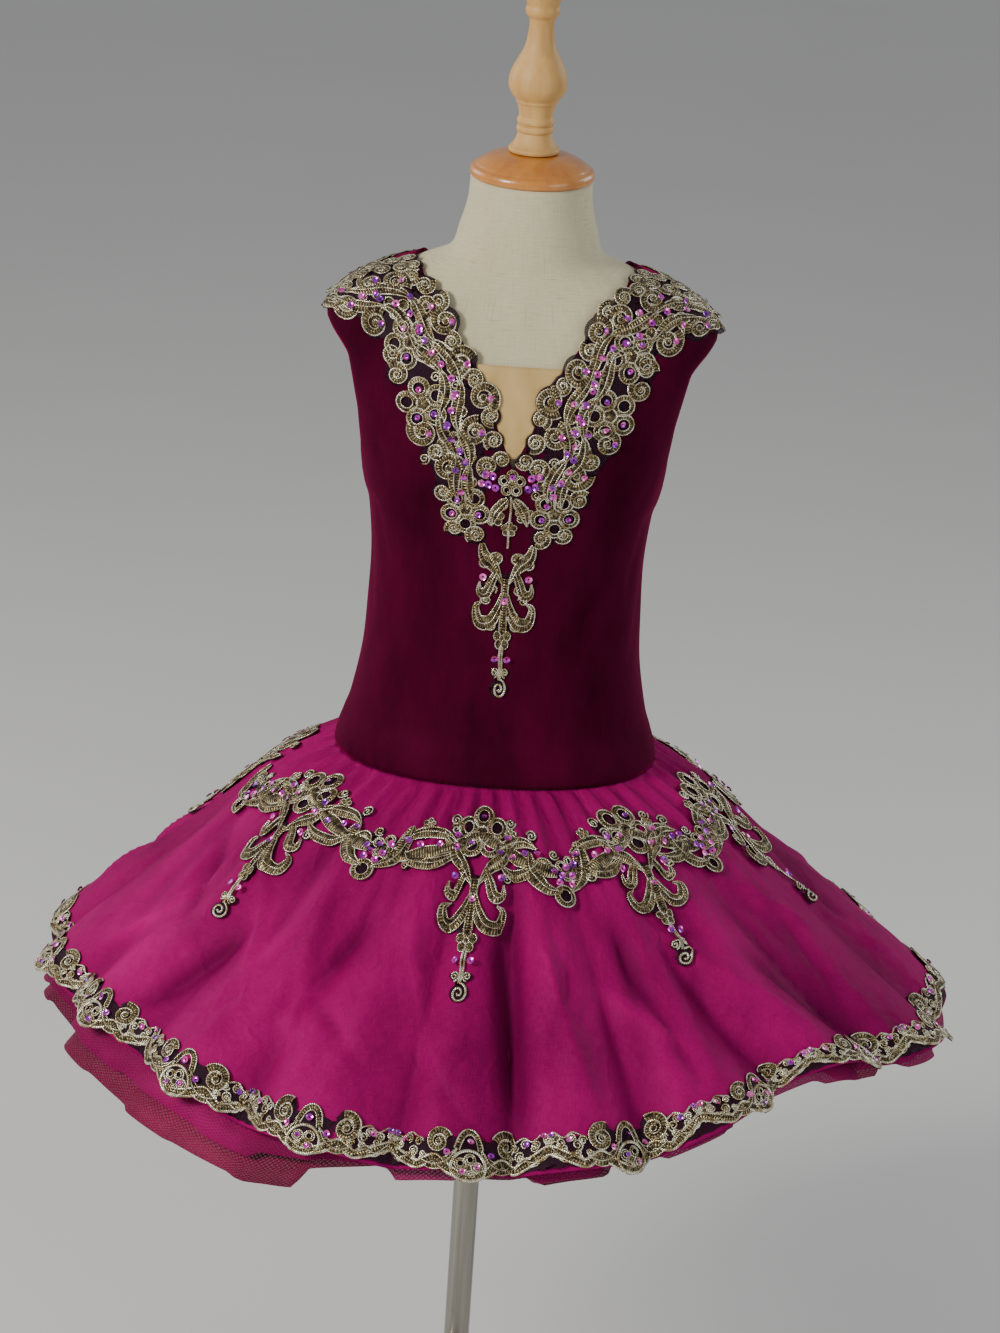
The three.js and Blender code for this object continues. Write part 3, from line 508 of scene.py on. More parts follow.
def velvet_dye():
    """Dark wine pile: the nap lies in soft patches, and its tips catch the light."""
    dye = Dye("velvet")
    patches = dye.noise(dye.cloth(0.02, 0.009), 3.0, 0.6)
    brushed = dye.noise(dye.cloth(0.5, 0.06), 2.0, 0.6)
    pile = dye.noise(dye.cloth(2.4, 2.4), 1.0)
    nap = (patches * 0.82 + brushed * 0.18).between(0.3, 0.72)
    base = dye.mix(nap, (0.030, 0.0003, 0.0075), (0.080, 0.0006, 0.0215))
    normal = dye.bump(pile * 0.7 + brushed * 0.3, 0.3, 0.5)
    rough = nap * -0.12 + 0.82
    sheen = {"sheen": 0.7, "sheen_rough": 0.34, "sheen_tint": (0.50, 0.004, 0.13, 1)}
    return dye.finish(base=base, rough=rough, normal=normal, specular=0.03, **sheen)


def gauze_dye():
    """Thin crisp magenta cloth: fine crossing threads, with painted shade darkening it down in its
    creases and billow valleys.
    """
    dye = Dye("gauze")
    threads = dye.noise(dye.cloth(2.2, 0.16), 2.0, 0.6)
    wefts = dye.noise(dye.cloth(0.16, 2.0), 2.0, 0.6)
    clouds = dye.noise(dye.cloth(0.012, 0.007), 3.0, 0.55)
    weave = threads * 0.55 + wefts * 0.45
    light = (clouds * 0.66 + weave * 0.34).between(0.3, 0.72)
    sheer = dye.mix(light, (0.14, 0.0004, 0.048), (0.50, 0.0015, 0.172))
    # Painted shade: the fold shade layer darkens the base towards deep plum in the creases and billow
    # valleys, mottled a little by the clouds.
    folded = dye.axis(dye.node("UVMap", {"uv_map": "folds"}), "X")
    doubled = (folded * 0.8 + clouds * 0.4).between(0.5, 1.0)
    base = dye.mix(doubled * 0.62, sheer, (0.075, 0.0003, 0.030))
    alpha = weave.between(0.2, 0.6) * 0.10 + 0.86
    crumpled = dye.noise(dye.cloth(0.07, 0.05), 3.0, 0.55)
    pinched = (dye.noise(dye.cloth(0.045, 0.026), 2.0, 0.5) * 2 - 1).size().between(0.0, 0.22)
    normal = dye.bump(weave * 0.2 + crumpled * 0.8 - pinched * 0.45, 0.7, 1.8)
    sheen = {"sheen": 0.04, "sheen_rough": 0.3, "sheen_tint": (1.0, 0.02, 0.45, 1)}
    return dye.finish(base=base, rough=0.5, alpha=alpha, normal=normal, specular=0.03, **sheen)


def net_dye(name, deep, bright, cover):
    """Stiff open net. Cover is how much of what lies behind it its gaps hide."""
    dye = Dye(name)
    yarns = dye.net_yarns(2.6, 0.55, 0.25)
    clouds = dye.noise(dye.cloth(0.015, 0.01), 3.0, 0.6)
    base = dye.mix(clouds.between(0.3, 0.7), deep, bright)
    alpha = yarns * (1 - cover) + cover
    sheen = {"sheen": 0.15, "sheen_rough": 0.45, "sheen_tint": (1.0, 0.08, 0.4, 1)}
    return dye.finish(base=base, rough=0.7, alpha=alpha, specular=0.1, **sheen)


def nude_dye():
    """Fine skin-coloured mesh with a faint even knit."""
    dye = Dye("nude_mesh")
    place = dye.cloth()
    knit = (dye.axis(place, "X") * 4.4).sine() * (dye.axis(place, "Y") * 4.4).sine()
    clouds = dye.noise(dye.cloth(0.05, 0.03), 2.0)
    base = dye.mix((clouds + knit * 0.12).between(0.3, 0.75), (0.50, 0.32, 0.115), (0.64, 0.44, 0.18))
    return dye.finish(base=base, rough=0.75, normal=dye.bump(knit, 0.2, 0.2), sheen=0.3, specular=0.3)


def linen_dye():
    """Pale plain-woven linen: threads both ways, some thicker, and darker slubs among them."""
    dye = Dye("linen")
    upright = dye.noise(dye.cloth(1.1, 0.045), 3.0, 0.65)
    level = dye.noise(dye.cloth(0.045, 1.1), 3.0, 0.65)
    slub_up = dye.noise(dye.cloth(0.55, 0.03), 1.0).between(0.66, 0.78)
    slub_level = dye.noise(dye.cloth(0.03, 0.5), 1.0).between(0.66, 0.78)
    weave = upright * 0.5 + level * 0.5
    soiled = dye.noise(dye.cloth(0.01, 0.01), 3.0, 0.6)
    pale = dye.mix(weave.between(0.35, 0.65), (0.52, 0.465, 0.29), (0.68, 0.63, 0.42))
    toned = dye.mix(soiled.between(0.35, 0.7) * 0.35, pale, (0.43, 0.38, 0.25))
    base = dye.mix((slub_up + slub_level) * 0.32, toned, (0.27, 0.22, 0.13))
    normal = dye.bump(weave + slub_up + slub_level, 0.4, 0.35)
    return dye.finish(base=base, rough=0.88, normal=normal, specular=0.2, sheen=0.15)


def wood_dye(name, pale, dark, lines, coat):
    """Turned wood: grain lines run up the piece and waver, with fine pores along them."""
    dye = Dye(name)
    waver = dye.noise(dye.object_place(9, 9, 2.5), 2.0)
    grain = dye.noise(dye.object_place(lines, lines, 6.0), 4.0, 0.65)
    pores = dye.noise(dye.object_place(900, 900, 60), 2.0, 0.7)
    tone = (grain * 0.7 + waver * 0.3).between(0.36, 0.66)
    worn = dye.mix(pores.between(0.55, 0.75) * 0.3, dye.mix(tone, dark, pale), dark)
    normal = dye.bump(grain + pores * 0.5, 0.25, 0.15)
    rough = 0.3 + tone * 0.12 if coat else 0.48 + tone * 0.1
    return dye.finish(base=worn, rough=rough, normal=normal, coat=coat, coat_rough=0.15)


def steel_dye():
    """Polished tube with faint marks along it."""
    dye = Dye("steel")
    marks = dye.noise(dye.object_place(220, 220, 5), 3.0, 0.6)
    base = dye.mix(marks.between(0.35, 0.7), (0.27, 0.255, 0.215), (0.40, 0.385, 0.34))
    return dye.finish(base=base, metal=1.0, rough=marks * 0.14 + 0.13, specular=0.5)


def cord_dye():
    """Twisted metallic cord: the twist runs slanting round it, with painted shade darkening the grooves.
    """
    dye = Dye("gold_cord")
    place = dye.cloth()
    twist = (dye.axis(place, "X") * 6.2832 + dye.axis(place, "Y") * 4.2).sine() * 0.5 + 0.5
    tarnish = dye.noise(dye.object_place(190, 190, 190), 2.0).between(0.36, 0.6)
    bright = dye.mix(tarnish, (0.36, 0.26, 0.11), (1.0, 0.97, 0.74))
    # Painted shade: the base darkens towards brown in the twist's grooves.
    base = dye.mix(twist * 0.75 + 0.25, (0.13, 0.085, 0.035), bright)
    normal = dye.bump(twist, 0.5, 0.3)
    return dye.finish(base=base, metal=0.6, rough=0.2, normal=normal, specular=0.7)


def fill_dye():
    """Ribbed metallic embroidery: close threads across each leaf and petal, with painted shade in the
    grooves between them.
    """
    dye = Dye("gold_fill")
    place = dye.cloth()
    ribs = (dye.axis(place, "Y") * 3.3).sine() * 0.5 + 0.5
    tarnish = dye.noise(dye.object_place(260, 260, 260), 3.0, 0.65).between(0.38, 0.62)
    bright = dye.mix(tarnish, (0.045, 0.024, 0.014), (0.42, 0.34, 0.16))
    # Painted shade: the base darkens to near black in the grooves between the ribs.
    base = dye.mix(ribs * 0.85 + 0.15, (0.012, 0.004, 0.006), bright)
    normal = dye.bump(ribs, 0.9, 0.5)
    return dye.finish(base=base, metal=0.75, rough=0.3, normal=normal)


def ground_dye():
    """The lace's dark net ground."""
    dye = Dye("lace_ground")
    yarns = dye.net_yarns(1.5, 0.5, 0.2)
    base = dye.mix(yarns, (0.006, 0.0008, 0.004), (0.035, 0.006, 0.022))
    return dye.finish(base=base, rough=0.6, alpha=yarns * 0.4 + 0.5, specular=0.15)


def sequin_dye():
    """Cupped sequins with a shifting pink to violet film."""
    dye = Dye("sequin")
    film = dye.noise(dye.object_place(95, 95, 95), 2.0, 0.7)
    stops = [(0.32, (0.14, 0.015, 0.34)), (0.46, (0.48, 0.04, 0.62)), (0.56, (1.0, 0.08, 0.50))]
    stops += [(0.70, (1.0, 0.55, 0.92))]
    base = dye.node("ValToRGB", {"stops": stops}, {"Fac": film})
    return dye.finish(base=base, metal=0.75, rough=0.2, coat=0.6, coat_rough=0.1)


velvet = velvet_dye()
gauze = gauze_dye()
upper_net = net_dye("net_upper", (0.16, 0.002, 0.05), (0.36, 0.006, 0.12), 0.7)
lower_net = net_dye("net_lower", (0.10, 0.001, 0.022), (0.27, 0.004, 0.062), 0.72)
nude_mesh = nude_dye()
linen = linen_dye()
pale_wood = wood_dye("pale_wood", (0.70, 0.42, 0.135), (0.47, 0.24, 0.06), 55, 0.0)
cap_wood = wood_dye("cap_wood", (0.66, 0.27, 0.05), (0.42, 0.13, 0.018), 40, 0.6)
steel = steel_dye()
gold_cord = cord_dye()
gold_fill = fill_dye()
lace_ground = ground_dye()
sequin_film = sequin_dye()


# The dress form. Its skin runs out to the torso's full size between these two heights.
INSET_ENDS = (950, 972)


def form_skin():
    """Level rings of the torso, closed by a rounded foot and a flat top."""
    rings = 150
    columns = 128
    heights = np.linspace(TORSO_FOOT, FORM_TOP, rings)
    angles = np.linspace(0, 2 * np.pi, columns, endpoint=False)
    angle, height = np.meshgrid(angles, heights)
    inset = FORM_INSET * (1 - ramp(*INSET_ENDS, height))
    points = lifted(torso_point, angle, height, -inset, 0.01)
    points[..., 2] = height
    foot_steps = np.linspace(0, np.pi / 2, 9)[:-1, None, None]
    low = points[:1] * [1, 1, 0]
    depth = (TORSO_FOOT - FORM_FOOT) * np.cos(foot_steps) ** 0.8
    foot = low * np.sin(foot_steps) ** 0.5 + [0, 0, 1] * (TORSO_FOOT - depth)
    top_shares = np.array([0.97, 0.5, 0.0])[:, None, None]
    top = points[-1:] * [1, 1, 0] * top_shares + [0, 0, FORM_TOP]
    return np.concatenate([foot, points, top])


def round_piece(name, rings, material, solid, around):
    """A closed skin from rings of points. Its pattern runs up it and round a cylinder."""
    rows, columns = rings.shape[:2]
    turned = np.linspace(0, 2 * np.pi * around, columns + 1)
    uv = np.stack(np.meshgrid(turned, length_along(rings[:, 0])), -1).reshape(-1, 2)
    doubled = np.concatenate([rings, rings[:, :1]], 1).reshape(-1, 3)
    piece = make_piece(name, doubled, grid_faces(rows, columns + 1), material, uv)
    merge_meeting(piece, face_out=True)
    return finished(piece, solid)


# The pattern of the torso and its velvet is laid round a cylinder of this radius.
TORSO_ROUND = 100
round_piece("form_body", form_skin(), linen, "form_torso", TORSO_ROUND)


def turned_rings(profile, segments, fine=4, foot=0):
    """Rings of a turned piece, from its profile of radius and height above its foot. Between
    the profile's points its line runs smoothly, in fine steps."""
    profile = np.array(profile, float) + [0, foot]
    places = np.linspace(0, len(profile) - 1, (len(profile) - 1) * fine + 1)
    smooth = read_smooth(profile, places)
    angles = np.linspace(0, 2 * np.pi, segments, endpoint=False)
    ring = np.stack([np.sin(angles), -np.cos(angles)], -1)
    flat = np.maximum(smooth[:, :1, None], 0) * ring[None]
    height = np.broadcast_to(smooth[:, 1][:, None, None], flat.shape[:2] + (1,))
    return np.concatenate([flat, height], -1)


CAP_FOOT = FORM_TOP + SEAM
CAP_HEIGHT = 17.5
cap_profile = [
    (0, 0), (30, 0), (40.5, 0), (42.6, 0.8), (43, 2.6), (42.9, 4.6), (41.8, 6.6), (39.5, 7.8),
    (37.5, 9.6), (32, 13), (26, 15.4), (20, 16.6), (14, 17.3), (7, CAP_HEIGHT), (0, CAP_HEIGHT),
]
cap_rings = turned_rings(cap_profile, 72, foot=CAP_FOOT)
round_piece("cap_turned", cap_rings, cap_wood, "neck_cap", 43)
FINIAL_FOOT = CAP_FOOT + CAP_HEIGHT + SEAM
finial_profile = [
    (0, 0), (12, 0), (16.6, 0), (17.5, 0.8), (17.5, 2.6), (15.6, 4.6), (13.2, 8.4), (11.9, 12.4),
    (11.5, 13.6), (12.7, 14.6), (12.9, 16.4), (12.4, 18.2), (11.3, 19), (12.4, 19.9), (12.9, 21.8),
    (12.2, 23.8), (11.7, 25), (12.2, 29), (13.4, 33.4), (14.6, 35), (14.9, 36.6), (17.6, 39.8),
    (19.6, 43.6), (20.2, 47), (19.7, 53), (17.6, 59), (14, 66), (11, 72), (9.4, 79), (8.6, 86),
    (8.5, 90), (9.2, 93), (11, 95), (11.8, 97), (11.8, 99.4), (11.1, 101.4), (11.8, 104.5),
    (13.2, 108.5), (13.5, 112), (12.9, 116), (11, 120.4), (7.5, 123.4), (3.5, 124.8), (0, 125),
]
finial_rings = turned_rings(finial_profile, 56, 3, FINIAL_FOOT)
round_piece("finial_turned", finial_rings, pale_wood, "finial", 15)

BASE_HEIGHT = 14
POLE_RADIUS = 9.25
UPPER_RADIUS = 7
COLLAR_FOOT = 388
COLLAR_HEIGHT = 34
COLLAR_OUTER = 15
# How far up inside the collar the lower pole ends, and how far it is cleared above that.
COLLAR_SEAT = 16
COLLAR_CLEAR = 2
POLE_FOOT = BASE_HEIGHT + SEAM
POLE_TOP = COLLAR_FOOT + COLLAR_SEAT
BASE_RADIUS = 150
base_profile = [
    (0, 0), (80, 0), (140, 0), (146, 0.1), (149.2, 0.8), (BASE_RADIUS, 2.4), (BASE_RADIUS, 6),
    (149.4, 8.4), (146.5, 9.6), (110, 11.6), (60, 13.6), (30, BASE_HEIGHT), (14, BASE_HEIGHT),
    (0, BASE_HEIGHT),
]
round_piece("base_round", turned_rings(base_profile, 128), steel, "base", BASE_RADIUS)


def tube_profile(radius, foot, top, soft=0.6):
    """A closed straight tube with softened ends."""
    profile = [(0, foot), (radius - soft, foot), (radius, foot + soft)]
    return [*profile, (radius, top - soft), (radius - soft, top), (0, top)]


low_pole = tube_profile(POLE_RADIUS, POLE_FOOT, POLE_TOP)
high_pole = tube_profile(UPPER_RADIUS, POLE_TOP + SEAM, FORM_FOOT - SEAM)
collar_profile = [
    (POLE_RADIUS + SEAM, 0), (13.4, 0), (COLLAR_OUTER, 1.4), (COLLAR_OUTER, 10), (13.6, 12), (13.6, 14),
    (COLLAR_OUTER, COLLAR_SEAT), (COLLAR_OUTER, 31), (13, COLLAR_HEIGHT),
    (UPPER_RADIUS + SEAM, COLLAR_HEIGHT), (UPPER_RADIUS + SEAM, COLLAR_SEAT + COLLAR_CLEAR),
    (POLE_RADIUS + SEAM, COLLAR_SEAT + COLLAR_CLEAR), (POLE_RADIUS + SEAM, 0),
]
collar_rings = turned_rings(collar_profile, 48, 1, COLLAR_FOOT)
round_piece("pole_low", turned_rings(low_pole, 48, 1), steel, "pole_lower", POLE_RADIUS)
round_piece("pole_high", turned_rings(high_pole, 48, 1), steel, "pole_upper", UPPER_RADIUS)
round_piece("pole_clamp", collar_rings, steel, "pole_collar", COLLAR_OUTER)

# The bodice. Its neck edge is measured across, its armhole edge from the middle plane.
NECK_POINT = (SHOULDER_TOP, 71)
NECK_FRONT = np.array(
    [
        (NECK_APEX, 0),
        (862, 12),
        (890, 22),
        (912, 36),
        (923, 43),
        (931, 49),
        (942, 59),
        (951, 66),
        NECK_POINT,
    ]
)
NECK_BACK = np.array([(890, 0), (912, 42), (923, 51), (931, 56), (942, 62), (951, 67), NECK_POINT])
# Armhole: height, distance in front of the middle plane, distance behind it.
ARMHOLE = np.array(
    [
        (UNDERARM, 0, 0),
        (814, 18, 16),
        (836, 30, 26),
        (861, 35, 30),
        (898, 33, 29),
        (916, 23, 21),
        (931, 0, 0),
    ]
)

# Soft creases of the velvet: turn and height of one end, of the other, half width, depth.
BODICE_CREASES = [
    (74, 806, 60, 716, 5.0, 1.3),
    (84, 770, 66, 668, 6.0, 1.1),
    (66, 842, 60, 792, 4.0, 0.9),
    (58, 690, 40, 640, 6.0, 0.8),
    (-72, 812, -58, 724, 5.0, 1.4),
    (-83, 778, -70, 690, 5.5, 1.2),
    (-63, 850, -56, 806, 4.0, 1.0),
    (-62, 668, -36, 628, 6.5, 0.9),
    (-20, 640, 12, 622, 6.0, 0.6),
    (28, 648, 54, 626, 5.0, 0.6),
    (108, 806, 124, 720, 5.0, 1.2),
    (98, 742, 112, 660, 6.0, 1.0),
    (136, 700, 158, 642, 6.0, 0.9),
    (176, 780, 182, 690, 7.0, 1.0),
    (205, 716, 188, 640, 6.0, 0.8),
    (238, 812, 226, 730, 5.0, 1.3),
    (256, 768, 240, 672, 6.0, 1.1),
    (214, 650, 240, 628, 5.0, 0.7),
]


def crease_depth(turn, height, creases, width_of, sharpness=2.0):
    """The sum of troughs. Each falls off across its line, softly where the power is 2 and with
    a crisp edge where it is near 1, and fades at both ends."""
    deep = np.zeros(np.broadcast(turn, height).shape)
    for turn_a, height_a, turn_b, height_b, half, depth in creases:
        along = (height - height_a) / (height_b - height_a)
        line = turn_a + (turn_b - turn_a) * along
        line = line + 0.06 * (turn_b - turn_a) * np.sin(np.pi * along)
        away = (np.mod(turn - line + 180, 360) - 180) * width_of
        fade = ramp(0.0, 0.35, along) * (1 - ramp(0.6, 1.0, along))
        deep = deep + depth * np.exp(-(np.abs(away / half) ** sharpness)) * fade
    return deep


# Millimetres to a degree of turn round the torso, and how much of each crease is pressed in.
BODICE_DEGREE = 1.75
CREASE_PRESSED = 0.7


def bodice_face(angle, height):
    """The outside of the velvet over the torso, less its creases."""
    deep = crease_depth(angle / DEGREE, height, BODICE_CREASES, BODICE_DEGREE)
    return lifted(torso_point, angle, height, BODICE_FACE - deep * CREASE_PRESSED, 0.01)


def column_angles(height, start, end, columns):
    """Angles evenly spaced by length round the torso between a start and an end at each row."""
    shares = np.linspace(0, 1, 160)[None]
    tries = start[:, None] + (end - start)[:, None] * shares
    points = torso_point(tries, height[:, None])
    steps = np.linalg.norm(np.diff(points, axis=1), axis=2)
    gone = np.concatenate([np.zeros((len(height), 1)), np.cumsum(steps, 1)], 1)
    wanted = gone[:, -1:] * np.linspace(0, 1, columns)[None]
    return np.stack([np.interp(w, g, t) for w, g, t in zip(wanted, gone, tries)])


def bodice_half(side, at_back):
    """One half of a bodice panel from its neck edge to its side edge, as points and pattern."""
    rows = 118
    columns = 34
    height = np.linspace(HIP_SEAM + SEAM + 0.4, SHOULDER_TOP, rows)
    neck = NECK_BACK if at_back else NECK_FRONT
    across = np.interp(height, neck[:, 0], neck[:, 1])
    deep = np.interp(height, ARMHOLE[:, 0], ARMHOLE[:, 2 if at_back else 1])
    deep = np.maximum(deep, SEAM * 0.6)
    start = angle_across(height, across, at_back)
    end = angle_deep(height, deep, at_back)
    angles = column_angles(height, start, end, columns) * side
    points = bodice_face(angles, height[:, None])
    uv = np.stack(np.broadcast_arrays(angles * TORSO_ROUND, height[:, None]), -1)
    return points, uv


def bodice_panel(name, at_back, solid):
    """Both halves of a bodice panel, joined along the middle, as a wall of velvet."""
    points, faces, uv = [], [], []
    for side in (1, -1):
        half, half_uv = bodice_half(side, at_back)
        faces.append(grid_faces(*half.shape[:2], start=sum(len(p) for p in points)))
        points.append(half.reshape(-1, 3))
        uv.append(half_uv.reshape(-1, 2))
    points, faces, uv = weld(np.concatenate(points), np.concatenate(faces), np.concatenate(uv))
    away = points * [1, 1, 0]
    piece = make_piece(name, points, outwards(points, faces, away), velvet, uv)
    return finished(thicken(piece, VELVET), solid)


velvet_front = bodice_panel("velvet_front", False, "bodice_front")
velvet_back = bodice_panel("velvet_back", True, "bodice_back")


def neck_mesh():
    """The nude insert: level rows across the V, just inside its edges."""
    rows = 30
    columns = 28
    height = np.linspace(NECK_APEX + 8, INSERT_TOP, rows)
    across = np.interp(height, NECK_FRONT[:, 0], NECK_FRONT[:, 1]) - 2 * SEAM
    share = np.linspace(-1, 1, columns)
    across, level = np.broadcast_arrays(across[:, None] * share, height[:, None])
    angles = angle_across(level, across)
    dimple = 0.5 * np.exp(-((share * 2) ** 2)) * ramp(INSERT_TOP - 15, INSERT_TOP, level)
    points = lifted(torso_point, angles, level, EASE + INSERT - dimple, 0.01).reshape(-1, 3)
    uv = np.stack([across, level], -1).reshape(-1, 2)
    faces = outwards(points, grid_faces(rows, columns), points * [1, 1, 0])
    piece = make_piece("nude_insert", points, faces, nude_mesh, uv)
    return finished(thicken(piece, INSERT * 0.8), "neck_insert")


nude_insert = neck_mesh()

# Creases of the skirt: turn and share of the upper end, of the lower end, half width, depth.
# A negative depth is a ridge.
SKIRT_CREASES = [
    (-84, 0.10, -70, 0.88, 9, 3.0),
    (-66, 0.08, -61, 0.62, 7, 2.6),
    (-52, 0.22, -58, 0.98, 8, -2.4),
    (-44, 0.06, -40, 0.74, 8, 3.4),
    (-30, 0.30, -44, 0.96, 7, 2.2),
    (-24, 0.05, -20, 0.48, 6, 2.6),
    (-14, 0.34, -20, 0.97, 10, -2.8),
    (-6, 0.06, -8, 0.55, 6, 2.2),
    (8, 0.10, 5.5, 0.94, 7, 4.2),
    (12, 0.18, 14, 0.9, 6, -2.6),
    (22, 0.05, 26, 0.5, 7, 2.4),
    (31, 0.28, 24, 0.97, 8, 2.6),
    (36, 0.35, 47, 0.98, 7, -3.0),
    (48, 0.06, 45, 0.68, 7, 3.2),
    (60, 0.10, 66, 0.72, 8, 2.6),
    (72, 0.26, 60, 0.97, 8, 2.4),
    (83, 0.08, 86, 0.82, 7, 2.8),
    (96, 0.10, 103, 0.9, 8, 3.0),
    (112, 0.05, 108, 0.6, 7, 2.6),
    (121, 0.30, 131, 0.97, 9, -2.6),
    (138, 0.07, 135, 0.7, 7, 3.4),
    (152, 0.25, 143, 0.95, 8, 2.2),
    (163, 0.06, 168, 0.6, 7, 2.6),
    (178, 0.10, 182, 0.94, 7, 3.8),
    (192, 0.32, 186, 0.97, 9, -2.8),
    (206, 0.05, 203, 0.55, 7, 2.4),
    (219, 0.25, 228, 0.96, 8, 2.8),
    (233, 0.06, 236, 0.66, 7, 3.2),
    (247, 0.30, 240, 0.97, 8, -2.4),
    (258, 0.08, 262, 0.8, 7, 2.8),
]

# Crisp slanting creases where the cloth has been folded and crushed, in the same columns.
CRISP_CREASES = [
    (-80, 0.30, -58, 0.66, 9, 2.4),
    (-64, 0.42, -74, 0.90, 8, -2.6),
    (-58, 0.28, -38, 0.72, 10, -3.0),
    (-46, 0.50, -56, 0.97, 9, 3.2),
    (-37, 0.24, -27, 0.90, 11, -3.6),
    (-30, 0.62, -12, 0.84, 8, 2.2),
    (-22, 0.36, -34, 0.78, 9, 2.6),
    (-17, 0.30, -3, 0.92, 11, -3.4),
    (-10, 0.70, 3, 0.98, 8, 2.2),
    (3, 0.28, 7, 0.99, 9, 5.0),
    (11, 0.34, 17, 0.96, 11, -4.0),
    (19, 0.40, 10, 0.80, 8, 2.2),
    (21, 0.52, 34, 0.80, 8, -2.4),
    (27, 0.30, 33, 0.97, 10, 3.6),
    (34, 0.34, 55, 0.88, 11, -3.8),
    (44, 0.30, 40, 0.74, 9, 2.6),
    (52, 0.50, 62, 0.98, 9, 3.2),
    (60, 0.30, 74, 0.62, 9, -2.6),
    (70, 0.44, 64, 0.92, 8, 2.2),
    (78, 0.34, 90, 0.84, 9, -3.0),
    (94, 0.30, 86, 0.78, 9, 2.6),
    (100, 0.42, 114, 0.92, 10, -3.2),
    (118, 0.30, 112, 0.86, 9, 3.0),
    (124, 0.50, 140, 0.90, 9, -2.8),
    (142, 0.32, 134, 0.84, 9, 2.6),
    (150, 0.40, 162, 0.96, 10, -3.4),
    (166, 0.32, 158, 0.80, 9, 2.6),
    (174, 0.44, 190, 0.88, 10, -3.2),
    (186, 0.30, 181, 0.98, 9, 4.2),
    (200, 0.42, 214, 0.90, 9, -2.8),
    (212, 0.32, 204, 0.84, 9, 2.8),
    (224, 0.36, 238, 0.92, 10, -3.2),
    (240, 0.30, 232, 0.78, 9, 2.6),
    (250, 0.44, 264, 0.88, 9, -2.8),
    (262, 0.32, 256, 0.94, 9, 3.0),
]
CRISPNESS = 1.25
CRISP_DEPTH = 2.5

chance = np.random.default_rng(11)
FINE_GATHERS = 90
GATHER_WIDE = 1.1
gather_shift = chance.normal(0, 0.9, FINE_GATHERS)
gather_long = chance.uniform(0.14, 0.62, FINE_GATHERS)
gather_high = chance.uniform(0.5, 1.25, FINE_GATHERS)


def gather_ripple(turn, share):
    """The skirt's gathers: the seam's own even waves with finer uneven ridges on them, each
    with its own place, length and height, all running out towards the hem."""
    even = GATHER_RISE * ramp(0, 0.04, share) * (1 - ramp(0.06, 0.42, share))
    ripple = even * np.cos(GATHERS * turn * DEGREE)
    pitch = 360 / FINE_GATHERS
    for k, (shift, long, high) in enumerate(zip(gather_shift, gather_long, gather_high)):
        away = np.mod(turn - k * pitch - shift + 180, 360) - 180
        fade = ramp(0, 0.03, share) * (1 - ramp(0.25 * long, long, share))
        ripple = ripple + high * np.exp(-((away / GATHER_WIDE) ** 2)) * fade
    return ripple


def crinkle(turn, share, waves):
    """Small uneven waves of crisp cloth: a few slanting sines of different lengths."""
    total = 0
    for count, slope, phase, high in waves:
        total = total + high * np.sin(count * turn * DEGREE + slope * share + phase)
    return total


# Waves of the crisp cloth: how many go round, slope down the skirt, start, height.
GAUZE_WAVES = [
    (31, 4.0, 0.4, 0.55),
    (47, -6.0, 1.9, 0.45),
    (73, 9.0, 0.7, 0.30),
    (19, -14.0, 2.6, 0.5),
    (8, 22.0, 1.1, 0.4),
]


def skirt_creases(turn, share):
    """How deep the overskirt's soft and crisp creases are together."""
    width_of = bell_at(share * SLANT)[0] * DEGREE
    soft = crease_depth(turn, share, SKIRT_CREASES, width_of)
    crisp = crease_depth(turn, share, CRISP_CREASES, width_of, CRISPNESS)
    return soft + CRISP_DEPTH * crisp


def skirt_ripple(turn, share):
    """All that is finer than the billows: gathers and crisp waves out, creases in."""
    body = ramp(0.05, 0.35, share)
    waves = crinkle(turn, share, GAUZE_WAVES) * body
    return gather_ripple(turn, share) - skirt_creases(turn, share) + waves


def skirt_face(turn, down):
    """The outside of the overskirt at a turn in degrees and millimetres down its slant."""
    share = down / SLANT
    return bell_point(turn, share, ripple=skirt_ripple(turn, share))


# The skirt's pattern is this many millimetres wide for each degree of turn.
TURN_WIDE = 3.6
# Its layers' edges meet at the middle of the back.
SKIRT_START = 180.0


def skirt_layer(name, face, rows, columns, thick, material, solid):
    """A round layer of the skirt as a thin closed wall, with its pattern in millimetres."""
    turn = SKIRT_START + np.linspace(0, 360, columns, endpoint=False)
    down = np.linspace(0, SLANT, rows)
    turns, downs = np.meshgrid(turn, down)
    points = face(turns % 360, downs)
    points = np.concatenate([points, points[:, :1]], 1).reshape(-1, 3)
    across = (SKIRT_START + np.linspace(0, 360, columns + 1)) * TURN_WIDE
    uv = np.stack(np.meshgrid(across, down), -1).reshape(-1, 2)
    faces = outwards(points, grid_faces(rows, columns + 1), points * [1, 1, 0] + [0, 0, 200])
    piece = make_piece(name, points, faces, material, uv)
    merge_meeting(piece)
    return finished(thicken(piece, thick), solid)


# The fold shade: its middle, and how many millimetres of crease and of billow change it by 1.
FOLD_MIDDLE = 0.45
FOLD_DARK = 12.0
BILLOW_DARK = 34.0


def fold_shade(turn, share):
    """How deep a place lies in its folds, from 0 on a crest to 1 at the bottom."""
    deep = skirt_creases(turn, share) / FOLD_DARK - billow_at(turn, share) / BILLOW_DARK
    return np.clip(FOLD_MIDDLE + deep, 0, 1)


